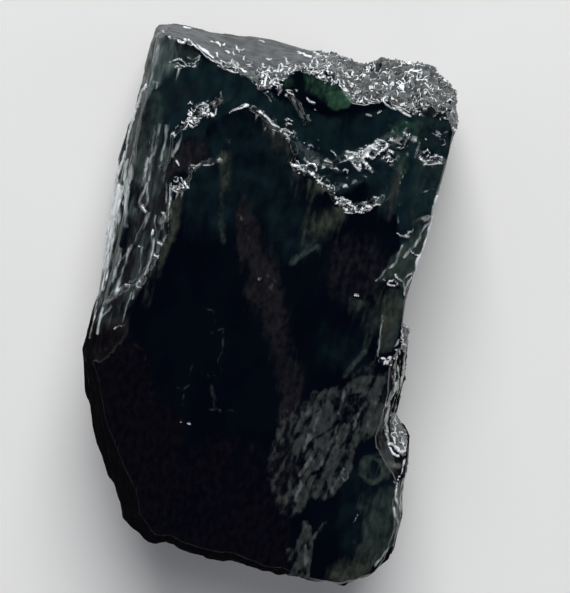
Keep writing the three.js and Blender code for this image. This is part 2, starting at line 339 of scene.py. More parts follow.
def wave(kind_of_noise, sizes, x, y, seed):
    """Height * noise, with the place scaled apart across the slab and along it."""
    height, per_x, per_y = sizes
    return height * kind_of_noise(x * per_x, y * per_y, seed)


def floor_depth(floor, outline, x, y, ragged):
    """Depth = start + slope x * x + slope y * y, held to 0..deepest, inside the wall.

    The wall is a smooth step of the distance inside the outline, made ragged by noise.
    """
    start, slope_x, slope_y, deepest = floor
    distance, (wall,) = inside_depth(outline, x, y)
    into = ease(distance + ragged, -wall / 2, wall / 2)
    return into * np.clip(start + slope_x * x + slope_y * y, 0, deepest)


def front_height(x, y):
    """A faint dome with long low ridges, less the deepest terrace and scoop."""
    dome = THICKNESS - DOME_FALL[0] * (x - DOME_TOP[0]) ** 2 - DOME_FALL[1] * (y - DOME_TOP[1]) ** 2
    ridges = wave(noise, LOW_RIDGES, x, y, 7) - LOW_RIDGES[0]
    ragged = wave(noise, RAGGED_LIP, x, y, 3) + wave(layered_noise, FINE_LIP, x, y, 5)
    terraces = np.max([floor_depth(*t, x, y, ragged) for t in TERRACES.values()], axis=0)
    scoops = np.max([floor_depth(*s, x, y, ragged) for s in SCOOPS.values()], axis=0)
    return dome + ridges - terraces - scoops


def back_height(x, y):
    """0 where the stone rests, and a rising plane past the line of each chip."""
    height = np.zeros(np.shape(x))
    for direction, start, rise in BACK_CHIPS:
        angle = math.radians(direction)
        height = np.maximum(height, rise * (x * math.cos(angle) + y * math.sin(angle) - start))
    return height


print("terraces:", len(TERRACES), "scoops:", len(SCOOPS))

# %% [markdown]
# ## Ridges drawn as strokes
#
# The glossy face also has thin raised lines: drips at the broken end, a slanted bar,
# faint long ridges and small nicks. Each is a line through a few corners with a half
# width, like a brush stroke, and one function measures the distance to all of them.

# %% Ridges
RIDGES = [
    # height, half width, corners
    (0.35, 0.45, [(-3.2, 26.1), (-1.9, 24.9), (-0.5, 23.3)]),
    (0.40, 0.45, [(-8.2, 28.2), (-7.4, 27.2), (-6.7, 26.2)]),
    (0.40, 0.38, [(-6.2, 28.4), (-6.3, 27.3), (-6.1, 26.5)]),
    (0.36, 0.35, [(-5.3, 28.0), (-4.9, 27.0), (-4.3, 26.1)]),
    (0.30, 0.30, [(-5.7, 25.6), (-5.0, 24.9)]),
    (0.07, 1.1, [(-9.5, 18.7), (-8.5, 14.5), (-8.0, 10.0), (-6.2, 6.5)]),
    (0.10, 0.5, [(1.3, 6.4), (2.4, 7.7), (3.9, 9.1)]),
    (0.06, 0.35, [(-6.9, -0.9), (-6.3, -2.4)]),
    (0.08, 0.4, [(-6.5, -3.5), (-5.1, -2.9), (-4.7, -5.6), (-4.6, -7.7)]),
    (0.10, 0.5, [(12.1, -1.9), (11.4, -3.3), (10.5, -5.6)]),
    (0.14, 0.4, [(13.2, 2.6), (13.3, 0.0), (13.7, -2.1), (13.9, -2.9)]),
    (0.16, 0.7, [(11.4, 25.0), (11.9, 21.0), (12.1, 17.0), (12.6, 13.4)]),
    (0.10, 0.6, [(10.1, 21.5), (10.5, 17.8)]),
    (0.12, 0.8, [(7.2, -10.2), (7.7, -14.9), (7.7, -17.5), (7.9, -21.9)]),
    (0.10, 0.7, [(10.2, -8.5), (9.9, -12.0), (11.0, -16.0)]),
    (0.12, 0.6, [(10.0, -24.6), (10.4, -26.5), (10.7, -30.5)]),
    (0.10, 0.5, [(11.9, -23.8), (10.7, -25.4)]),
    (0.14, 0.5, [
        (13.8, -15.4), (14.8, -14.2), (16.8, -14.2), (17.7, -16.0), (16.6, -17.9), (14.9, -17.3),
    ]),
    (0.22, 0.7, [(18.1, -15.6), (19.4, -14.7), (20.0, -15.7), (19.2, -17.3)]),
]


def stroke_distance(corners, x, y):
    """The distance from (x, y) to a line through the corners."""
    nearest = np.full(np.shape(x), np.inf)
    for (ax, ay), (bx, by) in zip(corners, corners[1:]):
        dx, dy = bx - ax, by - ay
        t = np.clip(((x - ax) * dx + (y - ay) * dy) / (dx * dx + dy * dy), 0, 1)
        nearest = np.minimum(nearest, np.hypot(x - ax - t * dx, y - ay - t * dy))
    return nearest


def stroke(corners, half_width, x, y):
    """1 along the line, easing to 0 at its half width."""
    return 1 - ease(stroke_distance(corners, x, y), 0.15 * half_width, half_width)


WIDE_WANDER = (0.3, 1.1, 1.1)
SMALL_WANDER = (0.1, 3, 3)
LONG_STREAKS = (0.022, 1.3, 0.11)
SHORT_STREAKS = (0.008, 3, 0.5)
UNEVENNESS = (0.45, 1.7, 1.7)


def fine_front(x, y):
    """The strokes, broken up by noise, and faint streaks along the slab."""
    wander_x = x + wave(noise, WIDE_WANDER, x, y, 21) + wave(noise, SMALL_WANDER, x, y, 22)
    wander_y = y + wave(noise, WIDE_WANDER, x, y, 23) + wave(noise, SMALL_WANDER, x, y, 24)
    height = wave(layered_noise, LONG_STREAKS, x, y, 2) + wave(noise, SHORT_STREAKS, x, y, 4)
    uneven = 0.75 + wave(noise, UNEVENNESS, x, y, 30)
    for rise, half_width, corners in RIDGES:
        height = height + rise * uneven * stroke(corners, half_width, wander_x, wander_y)
    return height


print("ridges:", len(RIDGES))

# %% [markdown]
# ## Charts
#
# Finding the surface asks for the outline and the front's height many times at every
# vertex. They depend only on x and y, so they are worked out once on a fine square
# chart, and read off it between its points.

# %% Charts of the outline and the front
CHART_STEP = 0.1
CHART_X = np.arange(-25, 25 + CHART_STEP, CHART_STEP)
CHART_Y = np.arange(-36, 36 + CHART_STEP, CHART_STEP)


def read_chart(chart, x, y):
    """The chart's value at (x, y), blended from the four chart points around it."""
    column = np.clip((x - CHART_X[0]) / CHART_STEP, 0, len(CHART_X) - 1.001)
    row = np.clip((y - CHART_Y[0]) / CHART_STEP, 0, len(CHART_Y) - 1.001)
    i, j = column.astype(int), row.astype(int)
    u, v = column - i, row - j
    near = chart[i, j] * (1 - u) + chart[i + 1, j] * u
    far = chart[i, j + 1] * (1 - u) + chart[i + 1, j + 1] * u
    return near * (1 - v) + far * v


chart_x, chart_y = np.meshgrid(CHART_X, CHART_Y, indexing="ij")
depth_chart, (set_in_chart, widest_chart, bow_chart) = inside_depth(OUTLINE, chart_x, chart_y)
front_chart = front_height(chart_x, chart_y) + fine_front(chart_x, chart_y)
print("chart:", chart_x.shape, "front from", round(float(front_chart.min()), 2))

# %% [markdown]
# ## The surface
#
# A sphere or a cube that is pushed out to the stone's surface keeps an even net of
# faces with no poles. A box grid is used here, because the stone is a slab. Each grid
# point is sent out from a block well inside the stone, and the place where its ray
# leaves the stone is found by halving the interval again and again.

# %% Sides and rays
EDGE_ROUNDING = 0.25
CORE = np.array([9.0, 20.0, 1.5])
HALF = np.array([WIDTH, LENGTH, THICKNESS]) / 2
# Height, then how many to a millimetre along x, y and z
LONG_SPLINTERS = (0.55, 0.5, 0.06, 0.42)
SHORT_SPLINTERS = (0.25, 1, 0.15, 1)
LUMPS = (0.35, 0.6, 0.6, 0.6)
SIDE_ROUGHNESS = 0.8
BACK_TURN = 2.2
RAY_REACH = (1.0, 30.0)
HALVINGS = 20


def solid_wave(sizes, x, y, z):
    """Height * noise, with the place scaled apart on all three axes."""
    height, per_x, per_y, per_z = sizes
    return height * noise(x * per_x, y * per_y, z * per_z)


def side_roughness(x, y, z):
    """Splinters that run along Y beside the slab, and rounder grains at its top end."""
    at_end = ease(y, 24, 29)
    splinters = solid_wave(LONG_SPLINTERS, x, y, z) + solid_wave(SHORT_SPLINTERS, x, y, z)
    lumps = solid_wave(LUMPS, x, y, z)
    granular = at_end * ease(x, 0, 5)
    return splinters * (1 - 0.6 * at_end) + lumps * (0.3 + 0.9 * granular)


def outside_sides(x, y, z):
    """Distance outside the sides: the set-in at this height, less the depth inside."""
    widest = read_chart(widest_chart, x, y)
    above = np.maximum(0, (z - widest) / (RIM_HEIGHT - widest))
    below = np.maximum(0, (widest - z) / widest)
    turned_in = read_chart(set_in_chart, x, y) * above ** read_chart(bow_chart, x, y)
    turned_in = turned_in + BACK_SET_IN * below**BACK_TURN
    rough = SIDE_ROUGHNESS * (1 - ease(below, 0.3, 1))
    return turned_in - read_chart(depth_chart, x, y) - rough * side_roughness(x, y, z)


def outside(points):
    """Less than 0 inside the stone: the larger of front, sides and back, edges rounded."""
    x, y, z = points.T
    front = z - read_chart(front_chart, x, y)
    sides = outside_sides(x, y, z)
    overlap = np.maximum(0, EDGE_ROUNDING - np.abs(front - sides))
    around = np.maximum(front, sides) + overlap**2 / (4 * EDGE_ROUNDING)
    return np.maximum(around, back_height(x, y) - z)


def to_surface(grid_points):
    """Halve each ray's interval, again and again, around the place where it leaves."""
    start = np.clip(grid_points, -CORE, CORE)
    ray = grid_points - start
    ray /= np.linalg.norm(ray, axis=1)[:, None]
    start[:, 2] += HALF[2]
    inner = np.full(len(start), RAY_REACH[0])
    outer = np.full(len(start), RAY_REACH[1])
    for _ in range(HALVINGS):
        middle = (inner + outer) / 2
        is_inside = outside(start + ray * middle[:, None]) < 0
        inner = np.where(is_inside, middle, inner)
        outer = np.where(is_inside, outer, middle)
    return start + ray * inner[:, None]


# %% [markdown]
# ## The box grid
#
# Blender can subdivide a cube, but its sides would all get the same number of cuts. Here
# the counts differ for the three directions, so the faces come out nearly square, and
# the rows crowd together towards the broken end, where the detail is finest. Corners and
# edges are shared, so the skin is closed.

# %% Box grid with shared corners
GRID = (260, 390, 64)
CROWDING = 0.2


def box_grid(counts):
    """The points on a box's skin and its quads, each skin point numbered once.

    The points of the whole block are numbered only where they lie on the skin, and
    each of the six sides reads its quads out of that block of numbers.
    """
    nx, ny, nz = counts
    block = -np.ones((nx + 1, ny + 1, nz + 1), int)
    i, j, k = np.indices(block.shape)
    skin = (i == 0) | (i == nx) | (j == 0) | (j == ny) | (k == 0) | (k == nz)
    block[skin] = np.arange(skin.sum())
    points = (2 * np.stack([i[skin] / nx, j[skin] / ny, k[skin] / nz], axis=1) - 1) * HALF
    sides = [
        (block[:, :, -1], False), (block[:, :, 0], True),
        (block[:, -1, :], True), (block[:, 0, :], False),
        (block[-1, :, :], False), (block[0, :, :], True),
    ]
    quads = []
    for numbers, turned in sides:
        corners = [numbers[:-1, :-1], numbers[1:, :-1], numbers[1:, 1:], numbers[:-1, 1:]]
        quad = np.stack(corners, axis=-1).reshape(-1, 4)
        quads.append(quad[:, ::-1] if turned else quad)
    return points, np.concatenate(quads)


def vertex_normals(points, quads):
    """Each quad's diagonal cross product, summed at its corners and made unit length."""
    a, b, c, d = (points[quads[:, n]] for n in range(4))
    faces = np.cross(c - a, d - b)
    normals = np.zeros_like(points)
    for n in range(4):
        for axis in range(3):
            normals[:, axis] += np.bincount(quads[:, n], faces[:, axis], len(points))
    return normals / np.linalg.norm(normals, axis=1)[:, None]


grid_points, quads = box_grid(GRID)
grid_points[:, 1] += CROWDING * HALF[1] * (1 - (grid_points[:, 1] / HALF[1]) ** 2)
points = to_surface(grid_points)
print("vertices:", len(points), "triangles:", 2 * len(quads))

# %% [markdown]
# ## Where each kind of surface is
#
# The stone is one mineral, but it breaks and weathers in several ways: glassy crystal
# grains, a satin haze, a dull film and olive places. Other kinds are painted light:
# white glints and pale streaks are painted highlights and reflections, brownish patches
# are painted reflections, and the bright green places are a painted glow where light
# comes through. Each kind is a number from 0 to 1 at every vertex. The marks are drawn
# in picture points, as if on a sheet of glass in front of the camera, and every vertex
# that faces the camera takes the marks it is seen through. The same numbers steer the
# relief and the material, so a painted glint is also a real bump.

# %% Picture points
PICTURE = (570, 593)
SENSOR = 36


def in_picture(points):
    """Picture points across and down, and the way to the camera as unit vectors.

    A point's place is half the picture plus the focal length times its sideways
    distance over its depth.
    """
    right, up, back = camera_axes()
    way = points * MM - (AIM + back * CAMERA_DISTANCE)
    depth = -way @ back
    focal = CAMERA_LENS / SENSOR * PICTURE[1]
    across = PICTURE[0] / 2 + focal * (way @ right) / depth
    down = PICTURE[1] / 2 - focal * (way @ up) / depth
    return across, down, -way / np.linalg.norm(way, axis=1)[:, None]


print("picture:", PICTURE[0], "by", PICTURE[1], "points")

# %% [markdown]
# ## Patches
#
# A patch is a closed outline of one kind of surface, with its strength and the width of
# its soft edge. Broad kinds, such as the dull film at the lower right and the painted
# brownish reflection in the middle, are only a few patches each. They could be painted
# by hand in Texture Paint instead, but an outline can be read, moved and kept in a script.

# %% Patches, in picture points
PATCHES = {
    "crystal": [
        # strength, softness, outline
        (1.0, 1.5, [
            (344, 160), (356, 153), (363, 149), (369, 144), (378, 139), (387, 142), (386, 149),
            (378, 156), (370, 160), (372, 172), (364, 168), (358, 170), (352, 163),
        ]),
        (0.9, 2.0, [
            (300, 64), (322, 66), (337, 71), (350, 84), (353, 97), (346, 92), (336, 85), (322, 80),
            (310, 76),
        ]),
        (0.9, 1.5, [
            (188, 110), (196, 104), (207, 101), (217, 100), (220, 107), (216, 117), (206, 118),
            (199, 124), (187, 129), (181, 125), (190, 117),
        ]),
        (0.7, 1.5, [(232, 60), (250, 62), (256, 72), (246, 76), (236, 70), (222, 66)]),
        (0.8, 1.2, [(167, 178), (184, 176), (187, 186), (183, 189), (172, 190), (167, 186)]),
        (0.6, 1.5, [(252, 106), (259, 108), (276, 119), (279, 127), (270, 123), (260, 114)]),
        (0.9, 1.2, [(278, 129), (293, 131), (294, 140), (288, 142), (282, 136)]),
        (0.8, 1.5, [(290, 163), (300, 164), (314, 172), (333, 188), (328, 190), (306, 176), (293, 171)]),
        (1.0, 1.5, [
            (333, 195), (347, 198), (354, 204), (362, 202), (373, 205), (371, 210), (358, 214),
            (349, 212), (336, 203),
        ]),
        (0.9, 1.5, [(382, 152), (389, 150), (396, 157), (394, 162), (384, 163)]),
        (0.8, 1.5, [(404, 131), (409, 126), (411, 138), (408, 146), (399, 150), (398, 146), (403, 139)]),
        (0.9, 1.5, [
            (419, 150), (430, 148), (435, 154), (444, 157), (440, 161), (429, 160), (424, 164),
            (420, 160),
        ]),
        (0.5, 2.0, [(425, 125), (433, 128), (441, 132), (452, 129), (451, 133), (441, 138), (428, 133)]),
        (1.0, 2.0, [(390, 411), (399, 414), (405, 430), (407, 445), (404, 456), (395, 451), (391, 436)]),
        (0.9, 1.5, [(402, 326), (409, 327), (408, 345), (403, 352), (400, 340)]),
        (0.9, 1.5, [
            (247, 69), (262, 66), (277, 64), (292, 64), (311, 66), (313, 72), (296, 71), (286, 77),
            (279, 93), (275, 86), (265, 89), (254, 84),
        ]),
    ],
    "bright": [
        # painted glint: a white highlight over the flame in the scoop
        (0.5, 1.5, [
            (346, 160), (356, 154), (363, 150), (369, 145), (376, 142), (379, 146), (371, 152),
            (366, 158), (361, 163), (353, 163),
        ]),
    ],
    "satin": [
        (0.5, 4.0, [(176, 44), (190, 45), (202, 55), (198, 64), (188, 65), (180, 57), (174, 57)]),
        (0.8, 6.0, [
            (383, 300), (386, 290), (393, 289), (401, 290), (405, 303), (401, 320), (398, 330),
            (396, 342), (390, 352), (381, 352), (378, 345), (380, 330), (381, 318),
        ]),
        (0.5, 5.0, [
            (350, 296), (368, 303), (380, 303), (380, 320), (377, 335), (368, 338), (366, 318),
            (352, 310),
        ]),
        (0.25, 8.0, [(415, 100), (452, 105), (450, 150), (442, 180), (430, 225), (405, 230), (412, 180)]),
        (0.55, 6.0, [(355, 500), (402, 480), (400, 530), (376, 566), (350, 560), (366, 530)]),
        (0.8, 6.0, [
            (431, 218), (424, 252), (414, 276), (404, 292), (392, 278), (378, 282), (390, 262),
            (402, 245), (415, 232),
        ]),
        (0.5, 6.0, [(140, 95), (160, 90), (165, 110), (160, 150), (140, 190), (128, 170), (130, 130)]),
    ],
    "pale": [
        # painted pale reflections and highlights
        (0.55, 2.5, [(123, 165), (129, 158), (134, 169), (134, 180), (129, 186), (123, 180)]),
        (0.25, 2.0, [(157, 214), (167, 213), (168, 224), (159, 225)]),
        (0.5, 1.5, [(247, 73), (256, 69), (262, 80), (259, 88), (253, 83)]),
        (0.5, 1.5, [(301, 64), (306, 66), (311, 76), (303, 72)]),
        (0.35, 1.5, [(286, 95), (293, 95), (304, 114), (306, 121), (301, 118), (293, 104)]),
    ],
    "haze": [
        (0.9, 12.0, [
            (150, 28), (168, 30), (182, 44), (180, 58), (170, 76), (156, 88), (146, 98), (138, 114),
            (131, 100), (139, 70), (146, 45),
        ]),
        (0.5, 14.0, [
            (124, 160), (150, 140), (174, 150), (172, 240), (158, 270), (132, 305), (100, 335),
            (94, 300), (104, 262), (108, 215),
        ]),
    ],
    "film": [
        (0.5, 5.0, [(374, 415), (392, 405), (394, 470), (388, 482), (378, 470), (372, 440)]),
        (0.95, 6.0, [
            (292, 420), (307, 401), (313, 390), (325, 390), (345, 384), (360, 376), (375, 376),
            (391, 380), (384, 405), (385, 428), (367, 440), (354, 450), (352, 468), (342, 487),
            (322, 502), (310, 496), (300, 512), (288, 512), (294, 470),
        ]),
        (0.55, 9.0, [
            (276, 420), (296, 405), (300, 440), (302, 470), (298, 512), (282, 520), (274, 494),
            (264, 474), (272, 448),
        ]),
        (1.0, 3.0, [
            (303, 520), (309, 520), (312, 530), (313, 545), (311, 560), (309, 578), (296, 579),
            (293, 560), (296, 545), (301, 533),
        ]),
        (0.6, 3.0, [(286, 550), (293, 548), (296, 577), (289, 579)]),
        (0.35, 7.0, [(352, 372), (372, 362), (395, 372), (392, 400), (372, 398), (352, 388)]),
    ],
    "brown": [
        # painted reflections: dim brownish patches on the glossy face
        (1.0, 5.0, [
            (183, 142), (206, 138), (207, 158), (186, 172), (178, 170), (158, 185), (150, 178),
            (160, 168), (176, 156),
        ]),
        (0.8, 12.0, [
            (140, 150), (172, 150), (170, 235), (156, 268), (130, 305), (105, 320), (112, 280),
            (128, 240),
        ]),
        (0.5, 16.0, [
            (330, 250), (350, 232), (375, 240), (392, 262), (384, 290), (360, 302), (340, 300),
            (322, 280),
        ]),
        (0.35, 9.0, [(165, 85), (200, 82), (205, 100), (180, 110), (165, 105)]),
        (0.5, 6.0, [
            (278, 405), (300, 405), (296, 440), (300, 470), (296, 505), (282, 515), (272, 490),
            (277, 455),
        ]),
        (0.9, 2.5, [(400, 250), (413, 250), (413, 268), (402, 272)]),
        (1.0, 4.0, [
            (238, 202), (243, 200), (248, 205), (253, 215), (258, 228), (260, 243), (268, 255),
            (279, 270), (281, 278), (277, 284), (282, 293), (284, 305), (288, 322), (276, 330),
            (262, 318), (250, 305), (243, 290), (246, 283), (252, 275), (252, 262), (240, 260),
            (236, 250), (235, 232), (236, 215),
        ]),
        (0.8, 4.0, [
            (262, 318), (276, 330), (290, 328), (288, 352), (305, 378), (301, 402), (291, 418),
            (279, 418), (277, 380), (276, 356), (264, 334),
        ]),
    ],
    "dusk": [
        (0.9, 14.0, [
            (84, 345), (95, 338), (122, 332), (140, 345), (150, 370), (157, 392), (175, 405),
            (188, 425), (174, 450), (200, 440), (225, 436), (252, 440), (270, 452), (282, 470),
            (290, 510), (290, 575), (150, 570), (105, 500), (82, 400),
        ]),
        (0.5, 10.0, [(150, 230), (166, 232), (160, 262), (140, 290), (128, 280), (135, 255)]),
    ],
    "teal": [
        (1.0, 6.0, [
            (152, 95), (185, 52), (250, 78), (280, 100), (330, 118), (392, 108), (450, 122),
            (446, 165), (436, 205), (420, 240), (402, 255), (396, 215), (372, 200), (366, 180),
            (340, 196), (300, 162), (290, 140), (262, 112), (246, 103), (222, 116), (185, 140),
            (150, 160),
        ]),
        (0.5, 14.0, [(262, 196), (300, 196), (330, 236), (322, 250), (300, 264), (286, 262), (268, 238)]),
        (0.5, 22.0, [
            (190, 150), (215, 122), (246, 108), (278, 132), (300, 170), (296, 200), (262, 215),
            (225, 235), (190, 235), (178, 190),
        ]),
        (0.4, 14.0, [(315, 330), (340, 328), (345, 350), (335, 372), (316, 366)]),
        (0.35, 12.0, [(335, 330), (365, 325), (372, 375), (340, 380)]),
        (0.4, 14.0, [(345, 470), (392, 440), (398, 500), (370, 555), (342, 560), (335, 530)]),
    ],
    "olive": [
        (0.9, 7.0, [
            (300, 232), (306, 222), (318, 218), (328, 210), (342, 207), (346, 216), (336, 226),
            (326, 233), (314, 240), (303, 240),
        ]),
        (1.0, 2.0, [(292, 171), (306, 178), (322, 186), (329, 190), (318, 190), (296, 180)]),
        (0.5, 8.0, [(262, 118), (282, 132), (291, 148), (292, 168), (284, 160), (270, 138)]),
        (0.8, 5.0, [
            (170, 200), (180, 200), (184, 215), (178, 228), (166, 258), (158, 270), (160, 246),
            (170, 232),
        ]),
        (0.7, 4.0, [(146, 285), (156, 280), (152, 300), (142, 305)]),
        (0.8, 2.5, [(352, 300), (361, 301), (361, 307), (353, 307)]),
        (0.6, 5.0, [(377, 285), (388, 288), (380, 305), (374, 300)]),
        (0.8, 6.0, [(386, 292), (402, 300), (398, 322), (386, 340), (380, 318)]),
        (0.5, 6.0, [(219, 150), (231, 150), (230, 190), (220, 192)]),
        (0.6, 5.0, [(392, 178), (408, 150), (402, 182), (392, 215), (385, 212)]),
        (1.0, 2.0, [
            (326, 579), (329, 571), (338, 566), (350, 564), (362, 562), (370, 556), (377, 558),
            (372, 567), (364, 576), (358, 582), (340, 583),
        ]),
    ],
    "glow": [
        (1.0, 5.0, [
            (324, 93), (333, 90), (346, 88), (353, 93), (353, 102), (348, 107), (336, 110), (328, 106),
        ]),
        (0.35, 7.0, [(283, 76), (293, 76), (294, 86), (285, 88)]),
        (0.45, 10.0, [(304, 74), (332, 74), (350, 84), (350, 104), (330, 106), (306, 90)]),
        (0.40, 7.0, [(388, 124), (404, 120), (420, 122), (418, 142), (404, 140), (392, 138)]),
        (0.25, 9.0, [(395, 150), (410, 150), (412, 170), (400, 180)]),
    ],
}

print("patches:", {kind: len(rows) for kind, rows in PATCHES.items()})
